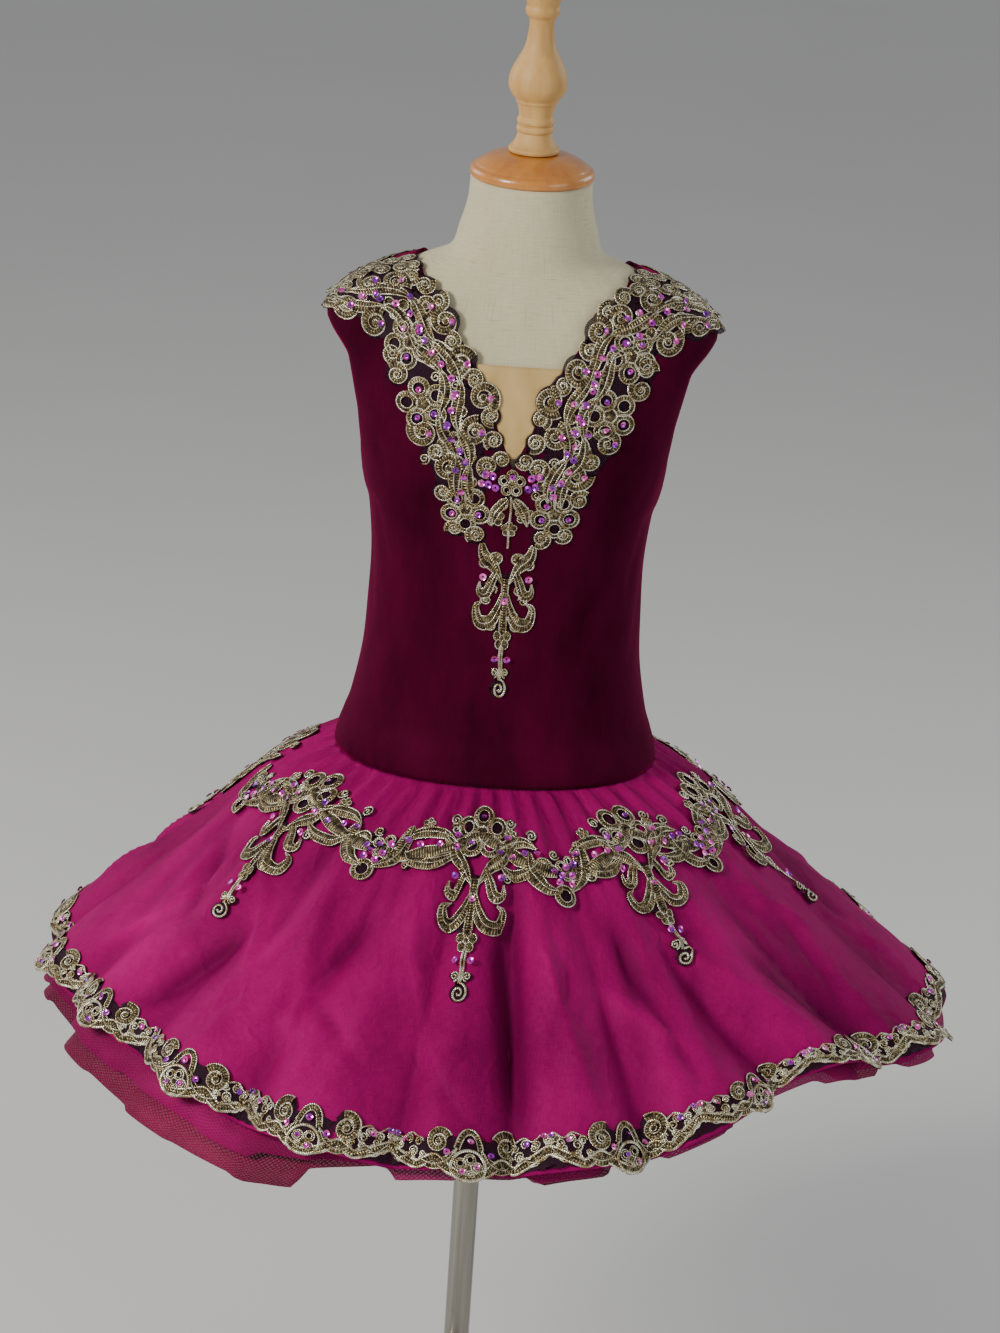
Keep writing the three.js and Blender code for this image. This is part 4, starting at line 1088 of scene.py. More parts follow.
def mark_folds(piece):
    """Writes the fold shade as a second pattern layer, read from the first one's places."""
    count = len(piece.data.loops)
    places = np.zeros(count * 2, np.float32)
    piece.data.uv_layers["cloth"].uv.foreach_get("vector", places)
    across, down = places.reshape(-1, 2).T
    shade = fold_shade(across / TURN_WIDE % 360, down / SLANT)
    layer = piece.data.uv_layers.new(name="folds")
    layer.uv.foreach_set("vector", np.stack([shade, 0 * shade], -1).astype(np.float32).ravel())


overskirt = skirt_layer("overskirt", skirt_face, 60, 576, 0.6, gauze, "skirt_over")
mark_folds(overskirt)

# How much shorter the net layers are cut than the overskirt round the hem: turn, upper, lower.
NET_SHORTER = np.array(
    [
        (-90, 3, 4),
        (-72, 0, -5),
        (-50, -5, -15),
        (-28, -3, -11),
        (-10, 10, 15),
        (12, 13, 21),
        (40, 14, 24),
        (66, 12, 18),
        (84, 2, 5),
        (110, 6, 8),
        (150, 4, 10),
        (200, 8, 6),
        (240, 4, 8),
        (270, 3, 4),
    ],
    float,
)


NET_FOLDS = 22


def net_face(seam_drop, drop, fold, crimp, slant_share, cut_steps, layer):
    """A stiff net layer: straight sharp folds, and a hem cut in short straight steps. It lies
    seam_drop and then drop below the overskirt, takes a share of its billows and slant, has
    folds crimp high, and is shorter by a column of NET_SHORTER."""
    shorter = NET_SHORTER[:, layer]

    def face(turn, down):
        share = down / SLANT
        wave = 2 / np.pi * np.arcsin(np.cos(NET_FOLDS * turn * DEGREE) * 0.98)
        zigzag = crimp * ramp(0, 0.8, share) * wave
        low = seam_drop + (drop - seam_drop) * ramp(0, 0.5, share)
        place = np.mod(turn / 360 * len(cut_steps), len(cut_steps))
        first = np.minimum(place.astype(int), len(cut_steps) - 1)
        following = (first + 1) % len(cut_steps)
        change = ramp(0.8, 1.0, place - first)
        step = cut_steps[first] * (1 - change) + cut_steps[following] * change
        step = step - np.interp(np.mod(turn + 90, 360) - 90, NET_SHORTER[:, 0], shorter)
        share = share * slant_share + step / SLANT * ramp(0.6, 1.0, share)
        return bell_point(turn, share, drop=low, fold=fold, ripple=zigzag)

    return face


cut_upper = chance.uniform(-7, 7, 41)
cut_lower = chance.uniform(-11, 9, 37)
upper_face = net_face(4, 17.5, 0.85, 2.5, 0.998, cut_upper, 1)
lower_face = net_face(5.8, 29, 0.75, 3, 0.985, cut_lower, 2)
net_high = skirt_layer("net_high", upper_face, 20, 440, 0.5, upper_net, "skirt_net_upper")
net_low = skirt_layer("net_low", lower_face, 20, 440, 0.5, lower_net, "skirt_net_lower")


# Lace is drawn flat in millimetres and laid on the cloth, with its strips and petals this far
# off it. A strip rises less where it is narrower than CROWN_HALF to each side. The open middle
# of a petal is a share of its radius.
FILL_LIFT = 0.5
CROWN_HALF = 2.5
PETAL_HOLE = 0.58


class Lace:
    """Strips, petals, cords and sequins drawn in the flat, across by down."""

    def __init__(self):
        self.fills = []
        self.cords = []
        self.sequins = []
        self.ground = []

    def cord(self, path, thick=0.62, lift=0.9):
        """A cord of that radius, with its middle that far off the cloth."""
        self.cords.append((np.asarray(path, float), thick, lift))

    def band(self, path, half, edge=0.55, rise=1.5):
        """A ribbed strip, crowned across, with a cord along each edge."""
        path = np.asarray(path, float)
        half = np.broadcast_to(np.asarray(half, float), len(path))
        side = flat_sides(path)
        places = np.linspace(-1, 1, 5)
        across, gone = np.broadcast_arrays(half[:, None] * places, length_along(path)[:, None])
        points = path[:, None] + side[:, None] * across[..., None]
        lift = FILL_LIFT + rise * (1 - places**2) * np.minimum(half[:, None] / CROWN_HALF, 1)
        self.fills.append((points, lift, np.stack([across, gone], -1)))
        for end in (-1, 1):
            self.cord(path + side * (end * half)[:, None], edge)
        self.ground.append((path, np.maximum(half, 0.8)))

    def petal(self, centre, radius, rise=1.5, ring=0.6, inner=True):
        """A domed round patch with ribs out from its middle, inside a ring of cord. With inner,
        its middle is left open and has a ring of its own."""
        sides = max(int(radius * 1.4) + 6, 9)
        centre = np.asarray(centre, float)
        turn = np.linspace(0, 2 * np.pi, sides + 1)
        rings = np.array([PETAL_HOLE if inner else 0.0, 0.72, 0.86, 1.0])[:, None] * radius
        circle = np.stack([np.cos(turn), np.sin(turn)], -1)
        points = centre + rings[..., None] * circle
        lift = FILL_LIFT + rise * (1 - (rings / radius) ** 2) * 0.8
        pattern = np.stack(np.broadcast_arrays(rings, turn * radius * 0.8), -1)
        self.fills.append((points, lift, pattern))
        self.cord(centre + radius * circle, ring)
        if inner:
            self.cord(centre + radius * PETAL_HOLE * circle, 0.45, 1.6)
        self.ground.append((centre[None], np.array([radius])))

    def sequin(self, x, y, radius=2.1):
        self.sequins.append((np.array([x, y], float), radius))

    def add(self, motif, x=0.0, y=0.0, flip=1):
        """Copies another drawing into this one, flipped and moved."""
        moved = motif.bent(lambda places: places * [flip, 1] + [x, y])
        self.fills += moved.fills
        self.cords += moved.cords
        self.sequins += moved.sequins
        self.ground += moved.ground

    def bent(self, bend):
        """The drawing with every place passed through a function."""
        other = Lace()
        other.fills = [(bend(places), *rest) for places, *rest in self.fills]
        other.cords = [(bend(places), *rest) for places, *rest in self.cords]
        other.sequins = [(bend(place[None])[0], radius) for place, radius in self.sequins]
        other.ground = [(bend(places), radius) for places, radius in self.ground]
        return other


def curve_through(points, fine=5):
    """A smooth path through a few places."""
    points = np.array(points, float)
    places = np.linspace(0, len(points) - 1, (len(points) - 1) * fine + 1)
    return read_smooth(points, places)


def spiral(radius, turns, start=0.0, sense=1, inner=0.16, spacing=1.3):
    """The radius shrinks evenly while the angle turns."""
    count = max(int(radius * turns * 3.4 / spacing), 8)
    t = np.linspace(0, 1, count)
    angle = (start + sense * 360 * turns * t) * DEGREE
    reach = radius * (1 - (1 - inner) * t)
    return np.stack([reach * np.cos(angle), reach * np.sin(angle)], -1)


def leaf_half(count, half, foot=0.25):
    """Half widths of a leaf: swelling from a narrow foot and closing to a point."""
    t = np.linspace(0, 1, count)
    swell = foot + (1 - foot) * np.sin(np.pi * np.minimum(t * 1.08, 1)) ** 0.7
    return half * swell * (1 - 0.7 * t**6)


def rosette(radius, petals=5, turn=0.0, sequins=(0, 2)):
    """A flower: round petals about a small middle."""
    made = Lace()
    for k in range(petals):
        angle = (turn + 360 * k / petals) * DEGREE
        x, y = radius * 0.6 * np.sin(angle), -radius * 0.6 * np.cos(angle)
        made.petal((x, y), radius * 0.4, rise=1.4)
        if k in sequins:
            made.sequin(x * 0.9, y * 0.9)
    made.petal((0, 0), radius * 0.26, rise=2.4, ring=0.5, inner=False)
    for k in range(petals):
        angle = (turn + 360 * (k + 0.5) / petals) * DEGREE
        tip = np.array([np.sin(angle), -np.cos(angle)])
        made.cord([tip * radius * 0.26, tip * radius * 0.62], 0.4, 1.8)
    return made


def scroll(radius, start=0.0, sense=1):
    """A ribbed band curling in on itself, round a small knot."""
    made = Lace()
    path = spiral(radius * 0.78, 1.25, start, sense, 0.3)
    made.band(path, np.linspace(radius * 0.24, radius * 0.13, len(path)))
    made.petal((0, 0), radius * 0.2, rise=2.0, ring=0.45, inner=False)
    made.ground.append((np.zeros((1, 2)), np.array([radius * 0.9])))
    return made


def curl(radius, start=0.0, sense=1, thick=0.62):
    """One cord wound in a spiral."""
    made = Lace()
    made.cord(spiral(radius, 1.7, start, sense, 0.12, 0.9), thick)
    made.ground.append((np.zeros((1, 2)), np.array([radius * 0.92])))
    return made


def leaf(points, half):
    """A ribbed leaf along a curve, with a cord down its middle."""
    made = Lace()
    path = curve_through(points)
    made.band(path, leaf_half(len(path), half), edge=0.5)
    made.cord(path, 0.4, 2.0)
    return made


def sprig(radius):
    """A tiny flower of five rings."""
    made = Lace()
    for k in range(5):
        angle = 2 * np.pi * k / 5
        place = (radius * 0.62 * np.sin(angle), -radius * 0.62 * np.cos(angle))
        made.petal(place, radius * 0.4, 0.9, 0.42, False)
    made.petal((0, 0), radius * 0.25, 1.2, 0.4, False)
    return made


DROP_LONG = 119.0


def drop(long=DROP_LONG, wide=0.84):
    """A hanging motif: two leaves crossing to a stem, two pairs of curled horns, a small
    flower, a thin stem with two curls, and a spiral at its foot."""
    made = Lace()
    for side in (1, -1):
        made.add(leaf([(25, 8), (22, 17), (12, 24), (3, 36)], 5.0), flip=side)
        made.add(leaf([(8, 26), (13, 34), (18, 43), (25, 42), (25, 35)], 3.9), flip=side)
        made.add(leaf([(1, 42), (5, 53), (13, 63), (24, 63), (27, 53), (21, 49)], 4.8), flip=side)
        made.add(curl(3.6, 90, side), side * 5, 98)
        made.sequin(side * 22, 31, 2.6)
        made.sequin(side * 6, 88, 2.6)
    made.sequin(0, 47, 2.6)
    made.band([(0, 32), (0, 44), (0, 56), (0, 68)], [3.4, 2.8, 2.9, 3.4])
    made.add(sprig(8.4), 0, 74)
    made.cord([(-0.8, 80), (-1.6, 88), (-0.4, 95), (-0.6, 103)], 0.95)
    made.cord([(1.4, 80), (1.2, 88), (1.4, 96), (0.4, 103)], 0.75)
    made.add(curl(7.0, -90, 1, 0.85), 0, 109.5)
    return made.bent(lambda p: p * [wide, long / DROP_LONG])


def cup():
    """A bowl of ribbed bands between two drops, with sequins in its middle."""
    made = Lace()
    made.add(leaf([(-21, -15), (-22, -2), (-14, 11), (-2, 14)], 5.4))
    made.add(leaf([(19, -22), (20, -8), (17, 5), (5, 14)], 5.4))
    made.add(scroll(8.5, 120, 1), -11, -4)
    made.add(rosette(9.5, 4, 20, ()), 7, -3)
    made.petal((0, 17), 8.0, 1.6)
    made.add(curl(4.0, 30, 1), -2, -13)
    for x, y in ((4, -3), (9, 3), (0, 3), (6, 9), (-5, 0), (-3, 8), (12, -5)):
        made.sequin(x, y, 2.6)
    return made


def garland_rosette(number):
    """A flower with leaves and curls to each side."""
    made = Lace()
    made.add(rosette(20.0, 5, 15 * (number % 3), (0, 3) if number % 2 else (1, 4)))
    for side in (1, -1):
        made.add(curl(4.2, 0, side), side * 22, -8)
        made.add(leaf([(side * 14, 10), (side * 23, 10), (side * 30, 2)], 3.4))
        made.sequin(side * 20, 4, 2.5)
    return made


# The motifs of the garland: turn, millimetres down the slant, reach of the drop, its lean.
ROSETTES = [
    (-2, 41, 120, -2),
    (43, 42, 103, -4),
    (82, 42, 108, 2),
    (127, 44, 112, 3),
    (171, 42, 116, -2),
    (215, 43, 110, 2),
    (257, 42, 108, -3),
    (300, 40, 112, 8),
]
CUPS = [(19, 69), (62, 67), (105, 67), (149, 68), (193, 66), (236, 68), (280, 66), (329, 64)]
LEAN_LONG = 3
DROP_PAST = 6
LEFT_CUT = -88
RIGHT_CUT = 92
FLAT_SCALE = 3.2


def degree_width(down):
    """Millimetres to a degree of turn at a place down the skirt."""
    return bell_at(down)[0] * DEGREE


def onto_skirt(drawing, turn, down):
    """Moves a drawing to its place in the skirt's flat, which is FLAT_SCALE to a degree."""

    def place(points):
        lower = points[..., 1] + down
        across = turn * FLAT_SCALE + points[..., 0] * FLAT_SCALE / degree_width(lower)
        return np.stack([across, lower], -1)

    return drawing.bent(place)


def swag(a, b):
    """Ribbed bands from one motif to the next, with leaves and curls along them."""
    made = Lace()
    (turn_a, down_a), (turn_b, down_b) = a[:2], b[:2]
    middle = ((turn_a + turn_b) / 2, (down_a + down_b) / 2)
    wide = (turn_b - turn_a) * degree_width(middle[1]) / 2
    rise = (down_b - down_a) / 2
    sag = 5
    ends = [(-wide, -rise), (-wide * 0.4, sag - rise * 0.6), (wide * 0.3, sag + rise * 0.2), (wide, rise)]
    path = curve_through(ends, 9)
    made.band(path, 3.4 + 1.6 * np.sin(np.linspace(0, np.pi * 3, len(path))) ** 2)
    above = [(-wide * 0.6, -2), (-wide * 0.2, -9), (wide * 0.2, -10), (wide * 0.5, -5)]
    below = [(wide * 0.5, 5), (wide * 0.15, 13), (-wide * 0.25, 13), (-wide * 0.5, 7)]
    made.add(leaf(above, 4.2), 0, sag * 0.4)
    made.add(leaf(below, 4.2), 0, sag * 0.4)
    made.add(curl(4.4, 200, 1), wide * 0.4, -13)
    made.add(curl(4.4, -20, -1), -wide * 0.35, 18)
    made.add(sprig(4.6), -wide * 0.15, -14)
    for x in (-0.5, -0.15, 0.2, 0.5):
        made.sequin(wide * x, sag * 0.4 + 5 * np.cos(9 * x), 2.4)
    return onto_skirt(made, *middle)


def garland(start, end):
    """The garland between two turns."""
    made = Lace()
    placed = [(t + lap, *rest) for t, *rest in [*ROSETTES, *CUPS] for lap in (-360, 0, 360)]
    placed = sorted(row for row in placed if start - 8 < row[0] < end + 8)
    for number, row in enumerate(placed):
        turn, down = row[:2]
        if len(row) > 2:
            reach, lean = row[2:]
            slope = [lean * LEAN_LONG / DROP_LONG, 0]
            hanging = drop(reach + DROP_PAST).bent(lambda p: p + p[..., 1:] * slope)
            made.add(onto_skirt(hanging, turn, down))
            made.add(onto_skirt(garland_rosette(number), turn, down))
        else:
            made.add(onto_skirt(cup(), turn, down))
    for a, b in zip(placed, placed[1:]):
        made.add(swag(a, b))
    return made


# The hem trim: 18 repeats round the skirt. Its edges over half a repeat, in steps of 2 degrees:
# how far the lower edge hangs below the hem and how far up the trim reaches.
HEM_REPEATS = 18
HEM_HANG = np.array([8, 2, -7, -1, -7, -13], float)
HEM_DEPTH = np.array([33, 29, 26, 26, 28, 31], float)
HEM_REPEAT = 360 / HEM_REPEATS
HEM_STEP = 0.22
BORDER_UP = 2.2
BORDER_HALF = 2.6


def hem_repeat(number):
    """A round medallion hanging at the hem between two fans, then low loops above the border.
    Every other repeat has its fans and loops a little otherwise."""
    made = Lace()
    width = degree_width(SLANT) * HEM_REPEAT
    odd = number % 2
    made.cord(np.array([0, -3]) + spiral(11.4, 1, 90, 1, 1.0), 1.15, 1.4)
    made.add(rosette(9.6, 5 - odd, 10 + 25 * odd, (1, 3)), 0, -3)
    made.ground.append((np.array([[0.0, -3.0]]), np.array([12.5])))
    arch = [(-8, -15), (-5, -23), (0, -26), (5, -23), (8, -15)]
    made.band(curve_through(arch), 1.8)
    made.sequin(0, -19, 2.5)
    for side in (1, -1):
        fan = 10.5 if side > 0 else 9.0 + odd
        x = side * (25 if side > 0 else 20)
        made.add(scroll(fan, 200 + 40 * odd, 1), x, -19, flip=side)
        made.add(leaf([(32, -8), (23, -4), (14, -7), (8, -15)], 3.6), flip=side)
        made.sequin(side * 14, -12, 2.4)
        made.add(curl(3.6, 90, side), side * 37, -13 - 3 * odd)
        made.add(leaf([(34, -4), (40, -9), (47, -8), (53, -15)], 2.6), flip=side)
        made.add(curl(3.0, -90, side), side * 46, -17 + 2 * odd)
        made.sequin(side * 42, -19, 2.2)
        made.sequin(side * 52, -23, 2.0)
        for step in range(4):
            made.add(curl(3.0, 80 * step, side), side * (33 + 7.2 * step), -18.5 - 2 * (step % 2))
            made.add(curl(2.6, 50 * step, -side), side * (30 + 7.2 * step), -11)
        ends = [(33, -21), (39, -24), (45, -21), (51, -25), (width / 2, -22)]
        made.cord(curve_through([(side * x, y) for x, y in ends]), 0.6)
    made.add(sprig(5.0), width / 2, -20)
    return made


def hem_edge(turn, edge):
    """An edge of the trim at turns in degrees, from its values over half a repeat."""
    away = np.abs(np.mod(turn / HEM_REPEAT + 0.5, 1) - 0.5) * HEM_REPEAT / 2
    return np.interp(away, np.arange(len(edge)), edge)


def hem_lace(start, end):
    """The trim between two turns, with one thick border cord along its scalloped lower edge."""
    made = Lace()
    first = int(np.ceil(start / HEM_REPEAT))
    last = int(np.floor(end / HEM_REPEAT))
    for k in range(first, last + 1):
        made.add(onto_skirt(hem_repeat(k), k * HEM_REPEAT, SLANT))
    turn = np.arange(start, end, HEM_STEP)
    kernel = np.hanning(7) / np.hanning(7).sum()
    hang = np.convolve(np.pad(hem_edge(turn, HEM_HANG), 3, "edge"), kernel, "valid")
    border = np.stack([turn * FLAT_SCALE, SLANT + hang - BORDER_UP], -1)
    steady = [1 / FLAT_SCALE * degree_width(SLANT), 1]
    bright = Lace()
    bright.band(border * steady, BORDER_HALF, 1.0, 1.3)
    made.add(bright.bent(lambda p: p / steady))
    steps = turn[:: int(2.0 / HEM_STEP)]
    depth = hem_edge(steps, HEM_DEPTH)
    depth = np.minimum(depth, 0.35 * depth + 14)
    made.ground.append((np.stack([steps * FLAT_SCALE, SLANT - depth * 0.5], -1), depth * 0.42))
    return made


def clipped_path(path, low, high):
    """The part of a path between two cuts, or None where next to nothing is left of it."""
    kept = (path[:, 0] >= low) & (path[:, 0] <= high)
    return path[kept] if kept.sum() > 2 else None


def clip(drawing, low, high):
    """Leaves out what lies past the cuts of a part."""
    cords = [(clipped_path(path, low, high), *rest) for path, *rest in drawing.cords]
    drawing.cords = [row for row in cords if row[0] is not None]
    drawing.fills = [row for row in drawing.fills if low <= row[0][..., 0].mean() <= high]
    drawing.sequins = [row for row in drawing.sequins if low <= row[0][0] <= high]


def joined(parts):
    """Grids of points with their patterns, as one list of points, faces and patterns."""
    points, faces, uv = [], [], []
    start = 0
    for grid, pattern in parts:
        rows, columns = grid.shape[:2]
        points.append(grid.reshape(-1, 3))
        faces.append(grid_faces(rows, columns, start))
        uv.append(pattern.reshape(-1, 2))
        start += rows * columns
    return np.concatenate(points), np.concatenate(faces), np.concatenate(uv)


def on_cloth(surface, turned_out, base, grids):
    """Where the places of many flat grids lie on the cloth, and which way is out there."""
    every = np.concatenate([grid.reshape(-1, 2) for grid in grids])
    out = outward_of(surface, every[:, 0], every[:, 1]) * turned_out
    points = surface(every[:, 0], every[:, 1]) + out * base
    ends = np.cumsum([grid.size // 2 for grid in grids])[:-1]
    shaped = zip(np.split(points, ends), np.split(out, ends), grids)
    return [(p.reshape(*g.shape[:-1], 3), o.reshape(*g.shape[:-1], 3)) for p, o, g in shaped]


# Sides of a cord and of a sequin, and how far off the cloth the sequins and the ground lie.
CORD_SIDES = 4
SEQUIN_SIDES = 10
SEQUIN_LIFT = 2.9
GROUND_LIFT = 0.35
# The ground's thickness and the step of the grid that it is made from.
GROUND_THICK = 0.3
GROUND_STEP = 2.0
# Rings of a sequin's cup: share of its radius, height.
SEQUIN_RINGS = np.array([(0.28, -0.25), (0.62, -0.15), (1.0, 0.28)])


def rings_round(side, over, around):
    """Circles of directions in the planes of two sets of directions."""
    return side[:, None] * np.cos(around)[:, None] + over[:, None] * np.sin(around)[:, None]


def cord_tube(centre, out, thick):
    """A tube round a path, with its pattern round and along it."""
    around = np.linspace(0, 2 * np.pi, CORD_SIDES + 1)
    along = unit(np.gradient(centre, axis=0))
    side = unit(np.cross(along, out))
    ring = rings_round(side, np.cross(side, along), around)
    gone = length_along(centre)[:, None]
    pattern = np.stack(np.broadcast_arrays(around / (2 * np.pi), gone), -1)
    return centre[:, None] + ring * thick, pattern


def lay_lace(name, drawing, cloth, solid, limits=None):
    """Lays a drawing on a cloth as four pieces: ground, ribbed fills, cords and sequins."""
    surface, turned_out, base, rests_on = cloth
    if limits:
        clip(drawing, *limits)
    laid = on_cloth(surface, turned_out, base, [row[0] for row in drawing.fills])
    parts = []
    for (points, out), (_, lift, pattern) in zip(laid, drawing.fills):
        high = np.broadcast_to(lift, points.shape[:-1])[..., None]
        parts.append((points + out * high, pattern))
    points, faces, uv = joined(parts)
    out = np.concatenate([out.reshape(-1, 3) for _, out in laid])
    fills = make_piece(name + "_fill", points, outwards(points, faces, out), gold_fill, uv)
    pieces = [finished(fills)]

    laid = on_cloth(surface, turned_out, base, [path for path, _, _ in drawing.cords])
    tubes = [
        cord_tube(points + out * lift, out, thick)
        for (points, out), (_, thick, lift) in zip(laid, drawing.cords)
    ]
    points, faces, uv = joined(tubes)
    cords = make_piece(name + "_cords", points, faces[:, ::-1], gold_cord, uv)
    pieces.append(finished(cords))

    def onto(places, lift):
        points, out = on_cloth(surface, turned_out, base, [places])[0]
        return points + out * lift

    pieces.append(finished(sequin_piece(name, drawing, onto)))
    ground = finished(ground_piece(name, drawing, onto, limits), solid)


def sequin_piece(name, drawing, onto):
    """Every sequin is a shallow cup with a hole, tilted a little its own way."""
    around = np.linspace(0, 2 * np.pi, SEQUIN_SIDES, endpoint=False)
    centres = np.array([place for place, _ in drawing.sequins])
    radii = np.array([radius for _, radius in drawing.sequins])
    middle = onto(centres, SEQUIN_LIFT)
    up = onto(centres, SEQUIN_LIFT + 1) - middle
    up = unit(up + chance.normal(0, 0.22, up.shape))
    side = unit(np.cross(up, [0.0, 0.3, 1.0]))
    spun = rings_round(side, np.cross(up, side), around)
    share, high = SEQUIN_RINGS.T[:, None, :, None]
    flat = spun[:, None] * (share * radii[:, None, None])[..., None]
    points = middle[:, None, None] + flat + (up[:, None] * high)[:, :, None]
    one = grid_faces(len(SEQUIN_RINGS), SEQUIN_SIDES, closed=True)
    starts = np.arange(len(centres)) * len(SEQUIN_RINGS) * SEQUIN_SIDES
    faces = (one + starts[:, None, None]).reshape(-1, 4)
    return make_piece(name + "_sequins", points.reshape(-1, 3), faces, sequin_film)


def ground_piece(name, drawing, onto, limits):
    """A sheet with the drawing's outline: the cells of a fine grid whose distance to the
    nearest strip or petal is small enough, with its edge points moved onto the outline."""
    margin = 24
    every = np.concatenate([path for path, _ in drawing.ground])
    low = every.min(0) - margin
    high = every.max(0) + margin
    if limits:
        low[0], high[0] = max(low[0], limits[0]), min(high[0], limits[1])
    columns, rows = (np.ceil((high - low) / GROUND_STEP).astype(int) + 1).tolist()
    xs = np.linspace(low[0], high[0], columns)
    ys = np.linspace(low[1], high[1], rows)
    away = np.full((rows, columns), 9.0)
    squeeze = degree_width(ys) / FLAT_SCALE if limits else np.ones(rows)
    for path, radius in drawing.ground:
        radius = np.broadcast_to(radius, len(path))
        for (x, y), r in zip(path, radius):
            scale = float(degree_width(y) / FLAT_SCALE) if limits else 1.0
            reach_x, reach_y = (r + 3) / scale, r + 3
            c0, c1 = np.searchsorted(xs, [x - reach_x, x + reach_x])
            r0, r1 = np.searchsorted(ys, [y - reach_y, y + reach_y])
            if c0 == c1 or r0 == r1:
                continue
            dx = (xs[None, c0:c1] - x) * squeeze[r0:r1, None]
            dist = np.hypot(dx, ys[r0:r1, None] - y) - r
            away[r0:r1, c0:c1] = np.minimum(away[r0:r1, c0:c1], dist)
    slope_y, slope_x = np.gradient(away, ys, xs)
    steep = np.maximum(slope_x**2 + slope_y**2, 0.25)
    place_x, place_y = np.meshgrid(xs, ys)
    near = np.abs(away) < GROUND_STEP * 0.75
    place_x = np.where(near, place_x - away * slope_x / steep, place_x)
    place_y = np.where(near, place_y - away * slope_y / steep, place_y)
    if limits:
        place_x = np.clip(place_x, low[0], high[0])
    inside = away < GROUND_STEP * 0.75
    faces = grid_faces(rows, columns)
    faces = faces[inside.ravel()[faces].all(1)]
    used, back = np.unique(faces, return_inverse=True)
    flat = np.stack([place_x.ravel()[used], place_y.ravel()[used]], -1)
    faces = back.reshape(faces.shape)
    points = onto(flat, GROUND_LIFT)
    faces = outwards(points, faces, points * [1, 1, 0] + [0, 0, 1])
    return thicken(make_piece(name, points, faces, lace_ground, flat), GROUND_THICK)


# The neck lace's lobes on one side: across, height, radius.
NECK_LOBES = [
    (129, 934, 9),
    (121, 949, 9),
    (119, 931, 10),
    (104, 951, 10),
    (99, 923, 11),
    (87, 952, 11),
    (75, 914, 17),
    (66, 938, 10),
    (52, 930, 11),
    (40, 904, 12),
    (23, 884, 12),
    (63, 876, 18),
    (62, 857, 11),
    (27, 861, 11),
    (43, 834, 12),
    (30, 806, 17),
    (17, 838, 9),
    (22, 788, 8),
]
# Smaller lobes that close the edges of the lace and carry it over the shoulder.
EDGE_LOBES = [
    (30, 895, 8),
    (47, 917, 8),
    (57, 942, 8),
    (67, 952, 8),
    (77, 958, 9),
    (17, 872, 8),
    (14, 856, 8),
    (8, 843, 7),
    (82, 893, 9),
    (52, 845, 9),
    (46, 817, 8),
    (86, 906, 8),
    (128, 956, 8),
    (113, 962, 9),
    (98, 965, 9),
    (85, 968, 9),
    (122, 970, 8),
    (106, 977, 9),
    (91, 981, 9),
    (76, 970, 8),
    (80, 983, 8),
    (37, 791, 7),
]
# The middle of the lace strip and its half width, for the small curls that fill it.
NECK_STRIP = [
    (126, 940, 12),
    (106, 946, 22),
    (86, 934, 24),
    (68, 917, 25),
    (58, 897, 27),
    (50, 878, 28),
    (46, 858, 28),
    (37, 838, 25),
    (33, 818, 21),
    (30, 800, 15),
    (28, 790, 8),
]
NECK_BAND = [
    (128, 940, 8),
    (96, 940, 11),
    (72, 925, 11),
    (56, 908, 9),
    (44, 884, 9),
    (42, 858, 9),
    (34, 836, 8),
    (30, 812, 7),
]
BACK_LOBES = [(118, 943, 12), (95, 926, 13), (70, 906, 14), (39, 890, 13), (0, 882, 14)]
BACK_EDGE_LOBES = [
    (127, 958, 8),
    (111, 961, 9),
    (97, 966, 9),
    (84, 956, 9),
    (74, 942, 9),
    (62, 930, 8),
    (108, 926, 8),
    (84, 910, 8),
    (55, 912, 8),
    (54, 892, 8),
    (25, 896, 7),
    (22, 880, 8),
]
BACK_STRIP = [
    (124, 950, 10),
    (102, 948, 20),
    (84, 930, 20),
    (62, 910, 16),
    (38, 893, 13),
    (12, 886, 10),
]
BACK_BAND = [(124, 945, 7), (92, 942, 11), (70, 928, 11), (48, 908, 10), (24, 896, 8), (0, 893, 8)]


# The shoulder: how far below its ridge the lace starts to follow it over.
RIDGE_LEAD = 22
OVER_LONG = 96
OVER_STEPS = 97
OVER_PITCH = 2.0
OVER_ACROSS = np.arange(0, 132, OVER_PITCH)
SHOULDER_REACH = OVER_ACROSS[-1] - 4


def over_shoulder():
    """For each distance across, the torso's line from RIDGE_LEAD below its ridge, over it and
    down the far side: depth and height at each millimetre of the way. The front's line starts
    in front and the back's behind."""
    start, depths, heights = [], {False: [], True: []}, {False: [], True: []}
    tall = np.linspace(850, FORM_TOP, 1400)
    half, front, back, square = torso_cut(tall)
    for across in OVER_ACROSS:
        inside = half > across
        ridge = tall[inside].max()
        start.append(ridge - RIDGE_LEAD)
        rows = inside & (tall >= ridge - RIDGE_LEAD)
        far_rows = inside & (tall >= ridge - OVER_LONG)
        for at_back, near, far in ((False, front, back), (True, back, front)):
            share = (1 - (across / half) ** square).clip(0) ** (1 / square)
            up = np.stack([-near[rows] * share[rows], tall[rows]], -1)
            down = np.stack([far[far_rows] * share[far_rows], tall[far_rows]], -1)[::-1]
            line = np.concatenate([up, down])
            gone = length_along(line)
            way = np.linspace(0, OVER_LONG, OVER_STEPS)
            depths[at_back].append(np.interp(way, gone, line[:, 0]))
            heights[at_back].append(np.interp(way, gone, line[:, 1]))
    tables = [{side: np.array(rows) for side, rows in one.items()} for one in (depths, heights)]
    return np.array(start), *tables


OVER_START, OVER_DEPTHS, OVER_HEIGHTS = over_shoulder()


